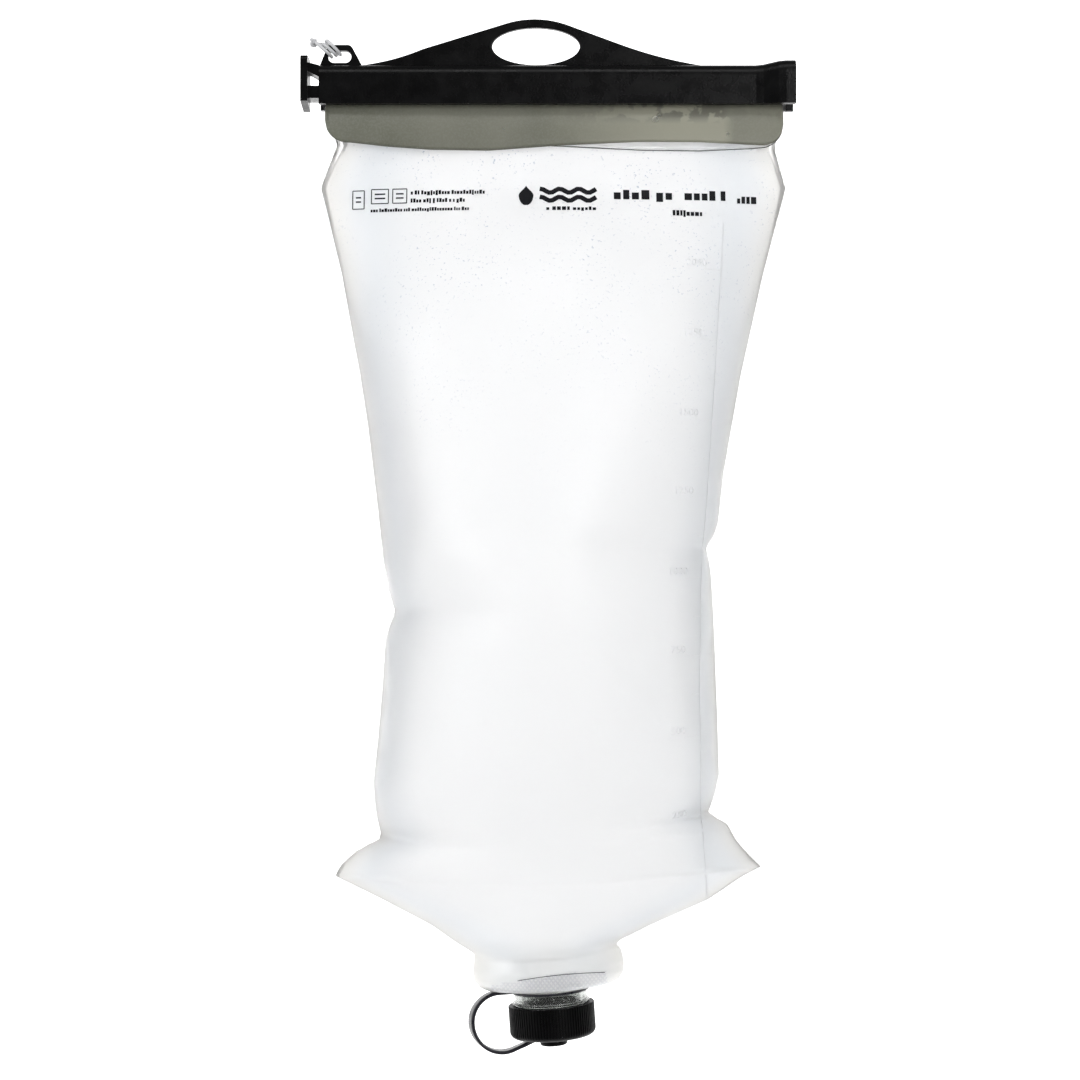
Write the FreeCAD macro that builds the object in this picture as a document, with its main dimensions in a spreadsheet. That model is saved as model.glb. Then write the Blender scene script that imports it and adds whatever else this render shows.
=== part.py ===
import FreeCAD, Part
import math
import os
import Sketcher
from FreeCAD import Placement, Rotation, Vector

# Two-litre soft water container, hung up by the handle of its slide-on closure bar.
# Millimetres.  The origin is the middle of the finger hole in the handle, +Z is up,
# -Y is the front.  The film bag hangs below the bar and ends in a threaded spout.

DIMENSIONS = [
    # closure bar: a C-channel, open at the bottom, with a flared right end
    ("channel_left", -79.9),
    ("flare_start", 81.0),
    ("flare_full", 92.0),
    ("channel_right", 95.6),
    ("channel_top", -7.2),
    ("channel_bottom", -21.9),
    ("back_bottom", -23.0),
    ("channel_half_depth", 6.2),
    ("channel_wall", 1.7),
    ("shoulder_radius", 4.2),
    ("slot_half_width", 2.8),
    ("flare_growth", 1.6),
    ("stop_left", -86.6),
    ("stop_thickness", 2.6),
    ("stop_top", -4.0),
    ("stop_bottom", -21.0),
    ("stop_half_depth", 7.0),
    ("stop_corner_radius", 2.0),
    ("web_half_depth", 5.4),
    ("web_top", -7.6),
    ("web_bottom", -12.0),
    ("web_rise", 1.0),
    ("web_taper", 2.2),
    ("lower_bar_top", -15.2),
    ("lower_bar_bottom", -19.8),
    # handle plate and its two holes
    ("handle_half_thickness", 1.5),
    ("rim_radius", 0.5),
    ("handle_left", -66.0),
    ("handle_right", 63.0),
    ("handle_peak", 10.0),
    ("plate_overlap", 0.8),
    ("arch_left", -11.8),
    ("arch_right", 10.8),
    ("arch_end_level", 8.25),
    ("arch_radius", 36.0),
    ("left_bend", -42.0),
    ("left_bend_level", -1.0),
    ("left_bend_radius", 84.0),
    ("right_bend", 30.0),
    ("right_bend_level", 1.2),
    ("right_bend_radius", 160.0),
    ("foot_edge", 0.1),
    ("finger_half_length", 16.2),
    ("finger_half_height", 6.85),
    ("tab_left", -79.9),
    ("tab_right", -64.2),
    ("tab_top", 0.5),
    ("tab_left_slope", 2.9),
    ("tab_left_radius", 1.2),
    ("tab_left_turn", 1.1),
    ("tab_left_drop", 0.6),
    ("tab_right_slope", 3.6),
    ("tab_right_radius", 2.2),
    ("tab_right_turn", 1.8),
    ("tab_right_drop", 1.0),
    ("eye_middle", -72.5),
    ("eye_half_length", 4.3),
    ("eye_radius", 2.25),
    ("eye_level", -3.9),
    # fold rail and the mouth folded over it
    ("rail_radius", 2.7),
    ("rail_level", -14.4),
    ("mouth_left", -77.6),
    ("mouth_right", 91.0),
    ("film_thickness", 0.4),
    ("film_fit", 0.1),
    ("lip_gap", 0.25),
    ("lip_wrap_turn", 50.0),
    ("lip_back", 0.4),
    ("lip_back_step", 0.55),
    ("lip_front", 0.85),
    ("lip_front_step", 0.6),
    ("lip_forward_step", 0.9),
    ("lip_slot_level", -20.8),
    ("inner_lip_bottom", -38.6),
    ("outer_lip_bottom", -37.4),
    ("lip_corner_radius", 8.0),
    ("lip_forward", 4.2),
    # bag
    ("ear_level", -305.0),
    ("weld_margin", 2.4),
    ("weld_half_thickness", 0.4),
    # spout, in a frame of its own whose origin is the middle of the boat's underside
    ("spout_offset", 5.2),
    ("spout_level", -347.7),
    ("spout_lean", 4.0),
    ("boat_height", 13.0),
    ("boat_tip_radius", 2.2),
    ("funnel_radius", 11.6),
    ("boat_floor", 0.9),
    ("boat_weld_low", 1.2),
    ("boat_weld_high", 11.5),
    ("neck_radius", 12.4),
    ("neck_length", 15.4),
    ("collar_radius", 13.3),
    ("collar_top", -1.5),
    ("bore_radius", 10.87),
    ("bead_radius", 14.3),
    ("bead_level", -5.0),
    ("bead_thickness", 1.0),
    ("thread_radius", 13.65),
    ("thread_pitch", 3.18),
    ("thread_turns", 1.75),
    ("thread_first", -12.9),
    ("thread_root_half", 0.95),
    ("thread_crest_half", 0.45),
    ("ridge_sink", 0.2),
    # tether
    ("ring_level", -0.75),
    ("ring_thickness", 0.9),
    ("ring_inner_radius", 12.7),
    ("ring_outer_radius", 14.3),
    ("strap_half_width", 2.6),
    ("strap_thickness", 1.2),
    ("strap_loop_radius", 11.0),
    ("strap_loop_middle", -18.9),
    ("strap_end_turn", 24.0),
    ("strap_root", 0.4),
    ("strap_end_gap", 0.35),
    # cap
    ("cap_radius", 15.9),
    ("cap_inner_radius", 14.0),
    ("cap_mouth", -5.9),
    ("cap_bottom", -17.9),
    ("cap_roof", 1.5),
    ("cap_edge_radius", 2.4),
    ("cap_mouth_radius", 0.4),
    ("cap_ribs", 90),
    ("rib_depth", 0.35),
    ("lug_inner_radius", 12.75),
    ("lug_root_half", 0.85),
    ("lug_crest_half", 0.4),
    ("lug_turns", 1.4),
    ("liner_radius", 13.4),
    ("liner_thickness", 0.8),
    ("stud_radius", 3.4),
    ("stud_head_radius", 5.0),
    ("stud_length", 3.4),
    ("stud_head_height", 1.5),
    ("stud_head_edge", 0.6),
    ("button_ring_radius", 6.6),
    ("button_ring_fit", 0.3),
    ("button_ring_gap", 0.2),
    # leash
    ("leash_radius", 0.6),
    ("knot_radius", 1.7),
]

FLARE_STEPS = 4

# Film bag outline: level, left edge, right edge and half depth of the bulge.
BAG_STATIONS = [
    (-21.9, -77.4, 90.6, 0.45),
    (-37.0, -75.2, 88.6, 2.6),
    (-52.0, -78.4, 91.4, 7.5),
    (-66.0, -76.2, 88.8, 16.0),
    (-84.0, -71.8, 84.0, 26.0),
    (-103.0, -68.5, 79.9, 34.0),
    (-121.0, -65.1, 75.9, 39.5),
    (-140.0, -62.2, 72.5, 43.5),
    (-168.0, -58.8, 68.8, 47.0),
    (-196.0, -56.4, 65.6, 49.0),
    (-224.0, -56.6, 65.8, 49.0),
    (-252.0, -58.0, 67.0, 46.5),
    (-278.0, -60.5, 68.0, 42.0),
    (-293.0, -65.0, 73.5, 37.5),
    (-305.0, -74.0, 82.0, 31.5),
    (-315.0, -56.6, 64.6, 26.0),
    (-325.0, -38.5, 45.0, 20.5),
    (-332.3, -28.6, 33.6, 15.4),
]

# Boat-shaped weld block: level above its underside, half length and half depth.
BOAT_STATIONS = [
    (0.0, 22.0, 12.9),
    (1.2, 25.0, 14.2),
    (4.0, 27.2, 14.6),
    (8.0, 27.6, 14.2),
    (13.0, 26.6, 13.0),
]

# Leash: three turns through the tab's eye and round its upper left corner, both ends in the knot.
LEASH_ROUTE = [
    (-81.3, -1.8, 1.4),
    (-79.4, -2.8, -0.4),
    (-75.6, -2.6, -3.7),
    (-75.4, 2.6, -3.7),
    (-79.3, 2.6, 0.6),
    (-78.7, -2.6, 1.1),
    (-74.0, -2.6, -3.2),
    (-73.8, 2.6, -3.2),
    (-77.9, 2.6, 1.9),
    (-77.2, -2.6, 2.4),
    (-72.4, -2.6, -2.7),
    (-72.2, 2.7, -2.9),
    (-76.3, 4.3, 0.2),
    (-79.2, 3.8, 1.6),
    (-81.3, 1.8, 1.6),
]


# ------------------------------------------------------------------ sheet and sketch tools

def make_sheet(document):
    sheet = document.addObject("Spreadsheet::Sheet", "Dims")
    for row, (alias, number) in enumerate(DIMENSIONS, 1):
        sheet.set(f"A{row}", alias)
        sheet.set(f"B{row}", str(number))
        sheet.setAlias(f"B{row}", alias)
    document.recompute()
    return sheet


def size(alias):
    return float(sheet.get(alias))


def new_body(label):
    body = doc.addObject("PartDesign::Body", label)
    body.Label = label
    return body


def new_feature(label, shape, placement=None):
    feature = doc.addObject("Part::Feature", label)
    feature.Label = label
    feature.Shape = shape
    if placement:
        feature.Placement = placement
    return feature


def new_sketch(body, name, role, offset=None):
    sketch = body.newObject("Sketcher::SketchObject", name)
    plane = [item for item in body.Origin.OriginFeatures if item.Role == role][0]
    sketch.AttachmentSupport = (plane, [""])
    sketch.MapMode = "FlatFace"
    if offset:
        sketch.setExpression("AttachmentOffset.Base.z", offset)
    return sketch


def arc_between(start, end, radius):
    """Counter-clockwise arc from start to end, shorter than a half turn."""
    chord = end.sub(start)
    half = chord.Length / 2
    rise = math.sqrt(max(radius ** 2 - half ** 2, 0.0))
    side = Vector(-chord.y, chord.x, 0).normalize()
    middle = start.add(end).multiply(0.5).add(side.multiply(rise))
    first = math.atan2(start.y - middle.y, start.x - middle.x)
    last = math.atan2(end.y - middle.y, end.x - middle.x)
    return Part.ArcOfCircle(Part.Circle(middle, Vector(0, 0, 1), radius), first, last)


def constrain(sketch, kind, name, expression, *where):
    number = float(sketch.evalExpression(expression))
    index = sketch.addConstraint(Sketcher.Constraint(kind, *where, number))
    sketch.renameConstraint(index, name)
    sketch.setExpression("Constraints." + name, expression)


def outline(sketch, corners):
    """Closed outline.  A corner is (x, y) or (x, y, radius, turn): expressions of the sheet,
    where radius and turn (+1 left, -1 right) describe an arc that leaves the corner."""
    points = [Vector(float(sketch.evalExpression(c[0])), float(sketch.evalExpression(c[1])), 0)
              for c in corners]
    edges = []
    for number, corner in enumerate(corners):
        here = points[number]
        there = points[(number + 1) % len(points)]
        if len(corner) == 2:
            index = sketch.addGeometry(Part.LineSegment(here, there), False)
            edges.append((index, 1, 2))
            continue
        radius = float(sketch.evalExpression(corner[2]))
        if corner[3] > 0:
            index = sketch.addGeometry(arc_between(here, there, radius), False)
            edges.append((index, 1, 2))
        else:
            index = sketch.addGeometry(arc_between(there, here, radius), False)
            edges.append((index, 2, 1))
    for number, corner in enumerate(corners):
        index, start, end = edges[number]
        following, next_start, _ = edges[(number + 1) % len(edges)]
        sketch.addConstraint(Sketcher.Constraint("Coincident", index, end, following, next_start))
    for number, corner in enumerate(corners):
        index, start, end = edges[number]
        stem = f"{sketch.Name}_{number}"
        constrain(sketch, "DistanceX", stem + "_x", corner[0], -1, 1, index, start)
        constrain(sketch, "DistanceY", stem + "_y", corner[1], -1, 1, index, start)
        if len(corner) == 4:
            constrain(sketch, "Radius", stem + "_r", corner[2], index)


def pad(body, sketch, length, symmetric=False):
    feature = body.newObject("PartDesign::Pad", sketch.Name + "Pad")
    feature.Profile = sketch
    if symmetric:
        feature.SideType = "Symmetric"
    feature.setExpression("Length", length)
    doc.recompute()
    return feature


def pocket(body, sketch, length):
    """Cut both ways from the sketch and make sure that something was removed."""
    before = body.Shape.Volume
    feature = body.newObject("PartDesign::Pocket", sketch.Name + "Pocket")
    feature.Profile = sketch
    feature.SideType = "Symmetric"
    feature.setExpression("Length", length)
    doc.recompute()
    if body.Shape.Volume >= before:
        raise RuntimeError(sketch.Name + " removed nothing")
    return feature


def round_edges(body, name, radius, wanted):
    """Fillet the body's edges that the test picks out."""
    base = body.Tip
    names = [f"Edge{number}" for number, edge in enumerate(base.Shape.Edges, 1) if wanted(edge)]
    feature = body.newObject("PartDesign::Fillet", name)
    feature.Base = (base, names)
    feature.Radius = radius
    doc.recompute()
    return feature


# ------------------------------------------------------------------ closure bar

def channel_section(body, name, offset, share):
    """C-shaped section of the channel, looking along +X; share is how far it has flared."""
    grow = f" + Dims.flare_growth * {share}"
    half = f"(Dims.channel_half_depth{grow})"
    top = f"(Dims.channel_top{grow})"
    low = "Dims.channel_bottom"
    back_low = "Dims.back_bottom"
    wall = "Dims.channel_wall"
    slot = f"(Dims.slot_half_width{grow})"
    outer = "Dims.shoulder_radius"
    inner = "(Dims.shoulder_radius - Dims.channel_wall)"
    sketch = new_sketch(body, name, "YZ_Plane", offset)
    outline(sketch, [
        (slot, back_low),
        (half, back_low),
        (half, f"{top} - {outer}", outer, 1),
        (f"{half} - {outer}", top),
        (f"{outer} - {half}", top, outer, 1),
        (f"-1 * {half}", f"{top} - {outer}"),
        (f"-1 * {half}", low),
        (f"-1 * {slot}", low),
        (f"-1 * {slot}", f"{low} + {wall}"),
        (f"{wall} - {half}", f"{low} + {wall}"),
        (f"{wall} - {half}", f"{top} - {outer}", inner, -1),
        (f"{outer} - {half}", f"{top} - {wall}"),
        (f"{half} - {outer}", f"{top} - {wall}", inner, -1),
        (f"{half} - {wall}", f"{top} - {outer}"),
        (f"{half} - {wall}", f"{low} + {wall}"),
        (slot, f"{low} + {wall}"),
    ])
    return sketch


def flared_end(body):
    """The right end opens out in a soft curve, so that the rail finds its way in."""
    length = "(Dims.flare_full - Dims.flare_start)"
    sections = []
    for number in range(FLARE_STEPS + 1):
        share = number / FLARE_STEPS
        swell = share * share * (3 - 2 * share)
        offset = f"Dims.flare_start + {length} * {share}"
        sections.append(channel_section(body, f"Flare{number}", offset, swell))
    loft = body.newObject("PartDesign::AdditiveLoft", "Flare")
    loft.Profile = sections[0]
    loft.Sections = sections[1:]
    loft.Ruled = True
    doc.recompute()
    rim = channel_section(body, "FlareRim", "Dims.flare_full", 1)
    pad(body, rim, "Dims.channel_right - Dims.flare_full")


def closed_end(body):
    """A stop plate stands off the left end, held by an upper web and a lower bar."""
    plate = new_sketch(body, "StopPlate", "YZ_Plane", "Dims.stop_left")
    deep = "Dims.stop_half_depth"
    round_by = "Dims.stop_corner_radius"
    outline(plate, [
        (f"-1 * {deep}", "Dims.stop_bottom"),
        (deep, "Dims.back_bottom"),
        (deep, f"Dims.stop_top - {round_by}", round_by, 1),
        (f"{deep} - {round_by}", "Dims.stop_top"),
        (f"{round_by} - {deep}", "Dims.stop_top", round_by, 1),
        (f"-1 * {deep}", f"Dims.stop_top - {round_by}"),
    ])
    pad(body, plate, "Dims.stop_thickness")
    inside = "Dims.stop_left + Dims.stop_thickness"
    web = new_sketch(body, "UpperWeb", "XZ_Plane")
    outline(web, [
        (inside, "Dims.web_bottom + Dims.web_taper"),
        ("Dims.channel_left", "Dims.web_bottom"),
        ("Dims.channel_left", "Dims.web_top"),
        (inside, "Dims.web_top + Dims.web_rise"),
    ])
    pad(body, web, "Dims.web_half_depth * 2", True)
    bar = new_sketch(body, "LowerBar", "XZ_Plane")
    outline(bar, [
        (inside, "Dims.lower_bar_bottom"),
        ("Dims.channel_left", "Dims.lower_bar_bottom"),
        ("Dims.channel_left", "Dims.lower_bar_top"),
        (inside, "Dims.lower_bar_top"),
    ])
    pad(body, bar, "Dims.web_half_depth * 2", True)


def handle_plate(body):
    """Low arched plate: concave feet, straight flanks and a round top over the hole."""
    foot = "Dims.channel_top - Dims.plate_overlap"
    sketch = new_sketch(body, "HandlePlate", "XZ_Plane")
    outline(sketch, [
        ("Dims.handle_left", foot),
        ("Dims.handle_right", foot),
        ("Dims.handle_right", "Dims.channel_top - Dims.foot_edge", "Dims.right_bend_radius", -1),
        ("Dims.right_bend", "Dims.right_bend_level"),
        ("Dims.arch_right", "Dims.arch_end_level", "Dims.arch_radius", 1),
        ("Dims.arch_left", "Dims.arch_end_level"),
        ("Dims.left_bend", "Dims.left_bend_level", "Dims.left_bend_radius", -1),
        ("Dims.handle_left", "Dims.channel_top + Dims.foot_edge"),
    ])
    pad(body, sketch, "Dims.handle_half_thickness * 2", True)


def leash_tab(body):
    """Small plate with sloping sides and rounded upper corners, at the closed end."""
    sketch = new_sketch(body, "LeashTab", "XZ_Plane")
    foot = "Dims.channel_top - Dims.plate_overlap"
    left = "Dims.tab_left + Dims.tab_left_slope"
    right = "Dims.tab_right - Dims.tab_right_slope"
    outline(sketch, [
        ("Dims.tab_left", foot),
        ("Dims.tab_right", foot),
        ("Dims.tab_right", "Dims.channel_top"),
        (right, "Dims.tab_top - Dims.tab_right_drop", "Dims.tab_right_radius", 1),
        (f"{right} - Dims.tab_right_turn", "Dims.tab_top"),
        (f"{left} + Dims.tab_left_turn", "Dims.tab_top", "Dims.tab_left_radius", 1),
        (left, "Dims.tab_top - Dims.tab_left_drop"),
        ("Dims.tab_left", "Dims.channel_top"),
    ])
    pad(body, sketch, "Dims.handle_half_thickness * 2", True)


def stadium(sketch, middle, level, half_length, radius):
    """Slot outline with round ends, as two straights and four quarter arcs."""
    reach = f"({half_length} - {radius})"
    outline(sketch, [
        (f"{middle} - {reach}", f"{level} - {radius}"),
        (f"{middle} + {reach}", f"{level} - {radius}", radius, 1),
        (f"{middle} + {half_length}", level, radius, 1),
        (f"{middle} + {reach}", f"{level} + {radius}"),
        (f"{middle} - {reach}", f"{level} + {radius}", radius, 1),
        (f"{middle} - {half_length}", level, radius, 1),
    ])


def finger_hole(body):
    sketch = new_sketch(body, "FingerHole", "XZ_Plane")
    long_half = size("finger_half_length")
    short_half = size("finger_half_height")
    ellipse = Part.Ellipse(Vector(long_half, 0, 0), Vector(0, short_half, 0), Vector(0, 0, 0))
    sketch.addGeometry(ellipse, False)
    sketch.exposeInternalGeometry(0)
    sketch.addConstraint(Sketcher.Constraint("Coincident", 0, 3, -1, 1))
    sketch.addConstraint(Sketcher.Constraint("Horizontal", 1))
    constrain(sketch, "Distance", "across", "Dims.finger_half_length * 2", 1)
    constrain(sketch, "Distance", "height", "Dims.finger_half_height * 2", 2)
    pocket(body, sketch, "Dims.handle_half_thickness * 2 + 2")


def leash_eye(body):
    sketch = new_sketch(body, "LeashEye", "XZ_Plane")
    stadium(sketch, "Dims.eye_middle", "Dims.eye_level", "Dims.eye_half_length", "Dims.eye_radius")
    pocket(body, sketch, "Dims.handle_half_thickness * 2 + 1")


def round_handle_rims(body):
    """Break the sharp rims of the handle plate and its hole, on both faces."""
    face = size("handle_half_thickness")
    above = size("channel_top") + 1

    def on_rim(edge):
        box = edge.BoundBox
        return box.YLength < 0.001 and abs(abs(box.YMin) - face) < 0.001 and box.ZMax > above
    round_edges(body, "HandleRims", size("rim_radius"), on_rim)


def closure_bar():
    """One moulding: the plates come first, so that their rounded rims run into the channel."""
    body = new_body("closure_bar")
    handle_plate(body)
    finger_hole(body)
    round_handle_rims(body)
    leash_tab(body)
    leash_eye(body)
    section = channel_section(body, "Channel", "Dims.channel_left", 0)
    pad(body, section, "Dims.flare_start - Dims.channel_left")
    flared_end(body)
    closed_end(body)


# ------------------------------------------------------------------ rail and mouth

def fold_rail():
    """Round rod inside the channel; the mouth of the bag is folded over it."""
    rail = doc.addObject("Part::Cylinder", "fold_rail")
    rail.Label = "fold_rail"
    rail.setExpression("Radius", "Dims.rail_radius")
    rail.setExpression("Height", "Dims.mouth_right - Dims.mouth_left")
    rail.Placement = Placement(Vector(size("mouth_left"), 0, size("rail_level")),
                               Rotation(Vector(0, 1, 0), 90))
    return rail


def folded_lip(label, layer, bottom):
    """One film of the mouth: up behind the rail, over it, and down in front of the bag.

    layer 0 lies on the rail and layer 1 lies over it."""
    film = size("film_thickness")
    wrap = size("rail_radius") + (film + size("lip_gap")) * layer + film / 2 + size("film_fit")
    level = size("rail_level")
    slot_level = size("lip_slot_level")
    back = size("lip_back") + layer * size("lip_back_step")
    front = -size("lip_front") - layer * size("lip_front_step")
    forward = -size("lip_forward") - layer * size("lip_forward_step")
    turn = math.radians(size("lip_wrap_turn"))
    behind = Vector(0, wrap * math.sin(turn), level - wrap * math.cos(turn))
    before = Vector(0, -wrap * math.sin(turn), level - wrap * math.cos(turn))
    start = Vector(0, back, slot_level)
    neck = Vector(0, front, slot_level)
    end = Vector(0, forward, bottom)
    path = Part.Wire([
        Part.LineSegment(start, behind).toShape(),
        Part.Arc(behind, Vector(0, 0, level + wrap), before).toShape(),
        Part.LineSegment(before, neck).toShape(),
        Part.LineSegment(neck, end).toShape(),
    ])
    profile = path.makeOffset2D(film / 2, 0, False, True, False)
    other = path.makeOffset2D(-film / 2, 0, False, True, False)
    face = Part.Face(closed_band(profile, other))
    face.translate(Vector(size("mouth_left"), 0, 0))
    solid = face.extrude(Vector(size("mouth_right") - size("mouth_left"), 0, 0))
    corners = [edge for edge in solid.Edges
               if edge.BoundBox.ZMax < bottom + 1 and edge.BoundBox.XLength < 0.001
               and edge.Length < film * 1.5]
    return new_feature(label, solid.makeFillet(size("lip_corner_radius"), corners))


def closed_band(first, second):
    """Join two open wires that run side by side into one closed wire."""
    start_a, end_a = wire_ends(first)
    start_b, end_b = wire_ends(second)
    if start_a.distanceToPoint(start_b) > start_a.distanceToPoint(end_b):
        start_b, end_b = end_b, start_b
    caps = [Part.LineSegment(start_a, start_b).toShape(), Part.LineSegment(end_a, end_b).toShape()]
    return Part.Wire(Part.__sortEdges__(first.Edges + second.Edges + caps))


def wire_ends(wire):
    vertexes = wire.OrderedVertexes
    return vertexes[0].Point, vertexes[-1].Point


# ------------------------------------------------------------------ film bag

def film_section(station, side):
    """Half of an elliptical ring on one side of the seam plane: side is -1 front, +1 back."""
    level, left, right, depth = station
    margin = size("weld_margin")
    film = size("film_thickness")
    middle = (left + right) / 2
    outer_half = (right - left) / 2 - margin
    rings = []
    for shrink in (0, film):
        across = outer_half - shrink
        deep = max(depth - shrink, 0.25)
        rings.append((across, deep))
    edges = []
    for across, deep in rings:
        ellipse = Part.Ellipse(Vector(middle, 0, level), across, deep)
        ellipse.Axis = Vector(0, 0, 1)
        span = (math.pi, 2 * math.pi) if side < 0 else (0, math.pi)
        edges.append(Part.ArcOfEllipse(ellipse, *span).toShape())
    ends = [edge_ends(edge) for edge in edges]
    caps = [Part.LineSegment(ends[0][number], ends[1][number]).toShape() for number in (0, 1)]
    return Part.Wire(Part.__sortEdges__(edges + caps))


def edge_ends(edge):
    return edge.valueAt(edge.FirstParameter), edge.valueAt(edge.LastParameter)


def bag_film(label, side):
    sections = [film_section(station, side) for station in BAG_STATIONS]
    return new_feature(label, Part.makeLoft(sections, True, True))


def weld_strip(label, stations, side):
    """Flat weld along one edge of the bag: both films fused into one strip."""
    margin = size("weld_margin")
    column = 1 if side < 0 else 2
    inner = [Vector(s[column] - side * margin, 0, s[0]) for s in stations]
    outer = [Vector(s[column], 0, s[0]) for s in stations]
    face = Part.Face(Part.makePolygon(inner + outer[::-1] + inner[:1]))
    half = size("weld_half_thickness")
    face.translate(Vector(0, -half, 0))
    return new_feature(label, face.extrude(Vector(0, 2 * half, 0)))


def weld_strips():
    ear = [index for index, s in enumerate(BAG_STATIONS) if s[0] == size("ear_level")][0]
    upper = BAG_STATIONS[:ear + 1]
    lower = BAG_STATIONS[ear:]
    weld_strip("left_side_weld", upper, -1)
    weld_strip("right_side_weld", upper, 1)
    weld_strip("left_bottom_weld", lower, -1)
    weld_strip("right_bottom_weld", lower, 1)


# ------------------------------------------------------------------ spout, tether and cap

def spout_placement():
    return Placement(Vector(size("spout_offset"), 0, size("spout_level")),
                     Rotation(Vector(0, 1, 0), -size("spout_lean")))


def ring(outer, inner, low, high):
    blank = Part.makeCylinder(outer, high - low, Vector(0, 0, low))
    return blank.cut(Part.makeCylinder(inner, high - low + 2, Vector(0, 0, low - 1)))


def boat_outline(half_length, half_depth, level):
    """Lens-shaped outline with round tips: two wide arcs and two small ones."""
    tip = size("boat_tip_radius")
    reach = half_length - tip
    side = ((reach ** 2) + half_depth ** 2 - tip ** 2) / (2 * (half_depth - tip))
    lean = math.atan2(reach, side - half_depth)
    touch_x = side * math.sin(lean)
    touch_y = side * math.cos(lean) - (side - half_depth)
    corners = [Vector(touch_x, touch_y, level), Vector(0, half_depth, level),
               Vector(-touch_x, touch_y, level), Vector(-half_length, 0, level),
               Vector(-touch_x, -touch_y, level), Vector(0, -half_depth, level),
               Vector(touch_x, -touch_y, level), Vector(half_length, 0, level)]
    arcs = [Part.Arc(corners[n], corners[n + 1], corners[(n + 2) % 8]).toShape()
            for n in (0, 2, 4, 6)]
    return Part.Wire(arcs)


def boat_block(stations, outset):
    """Block through the boat's stations, grown all round by outset."""
    return Part.makeLoft([boat_outline(length + outset, depth + outset, level)
                          for level, length, depth in stations], True, True)


def thread_ridge(root, crest, half_root, half_crest, first, turns):
    """Right-hand helical ridge of trapezoid section; root and crest are its two radii."""
    pitch = size("thread_pitch")
    path = Part.makeHelix(pitch, pitch * turns, root)
    profile = Part.makePolygon([
        Vector(root, 0, -half_root), Vector(crest, 0, -half_crest),
        Vector(crest, 0, half_crest), Vector(root, 0, half_root), Vector(root, 0, -half_root)])
    ridge = Part.Wire(path.Edges).makePipeShell([profile], True, True)
    ridge.translate(Vector(0, 0, first))
    return ridge


def spout():
    """Boat-shaped weld block with the threaded neck moulded on."""
    height = size("boat_height")
    hull = boat_block(BOAT_STATIONS, 0)
    neck = Part.makeCylinder(size("neck_radius"), size("neck_length") + 1,
                             Vector(0, 0, -size("neck_length")))
    bead = Part.makeCylinder(size("bead_radius"), size("bead_thickness"),
                             Vector(0, 0, size("bead_level") - size("bead_thickness") / 2))
    bead = bead.makeFillet(size("bead_thickness") * 0.4, bead.Edges[:1] + bead.Edges[2:])
    collar = Part.makeCylinder(size("collar_radius"), size("collar_top") - size("bead_level"),
                               Vector(0, 0, size("bead_level")))
    ridge = thread_ridge(size("neck_radius") - size("ridge_sink"), size("thread_radius"),
                         size("thread_root_half"), size("thread_crest_half"),
                         size("thread_first"), size("thread_turns"))
    bore = Part.makeCylinder(size("bore_radius"), size("neck_length") + 2,
                             Vector(0, 0, -size("neck_length") - 1))
    funnel = Part.makeCylinder(size("funnel_radius"), height + 2,
                               Vector(0, 0, size("boat_floor")))
    solid = hull.fuse([neck, collar, bead, ridge]).cut([bore, funnel])
    return new_feature("spout", solid.Solids[0], spout_placement())


def spout_weld(label, side):
    """Film sealed over one face of the boat."""
    lies_at = size("film_fit")
    reaches = lies_at + size("film_thickness")
    band = boat_block(BOAT_STATIONS, reaches).cut(boat_block(BOAT_STATIONS, lies_at))
    low = size("boat_weld_low")
    half_space = Part.makeBox(80, 40, size("boat_weld_high") - low,
                              Vector(-40, 0 if side > 0 else -40, low))
    return new_feature(label, band.common(half_space).Solids[0], spout_placement())


def tether_neck_ring():
    half = size("ring_thickness") / 2
    level = size("ring_level")
    solid = ring(size("ring_outer_radius"), size("ring_inner_radius"), level - half, level + half)
    return new_feature("tether_neck_ring", solid, spout_placement())


def tether_strap():
    """Flat strap: straight out of the neck ring, round a loop, and back to the cap's stud."""
    radius = size("strap_loop_radius")
    middle = Vector(size("strap_loop_middle"), 0, size("ring_level") - radius)
    turn = math.radians(270 + size("strap_end_turn"))
    out = Vector(math.cos(turn), 0, math.sin(turn)).multiply(radius)
    leave = middle.add(out)
    onward = Vector(-math.sin(turn), 0, math.cos(turn))
    reach = -size("button_ring_radius") - size("strap_end_gap") - leave.x
    end = leave.add(onward.multiply(reach / onward.x))
    start = Vector(size("strap_root") - size("ring_outer_radius"), 0, size("ring_level"))
    top = Vector(middle.x, 0, middle.z + radius)
    path = Part.Wire([
        Part.LineSegment(start, top).toShape(),
        Part.Arc(top, Vector(middle.x - radius, 0, middle.z), leave).toShape(),
        Part.LineSegment(leave, end).toShape(),
    ])
    half = size("strap_thickness") / 2
    band = closed_band(path.makeOffset2D(half, 0, False, True, False),
                       path.makeOffset2D(-half, 0, False, True, False))
    face = Part.Face(band)
    wide = size("strap_half_width")
    face.translate(Vector(0, -wide, 0))
    solid = face.extrude(Vector(0, 2 * wide, 0))
    clear = Part.makeCylinder(size("ring_outer_radius"), 6, Vector(0, 0, -4))
    return new_feature("tether_strap", solid.cut(clear).Solids[0], spout_placement())


def tether_button_ring():
    thick = size("strap_thickness")
    high = size("cap_bottom") - size("button_ring_gap")
    inner = size("stud_radius") + size("button_ring_fit")
    solid = ring(size("button_ring_radius"), inner, high - thick, high)
    return new_feature("tether_button_ring", solid, spout_placement())


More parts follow.
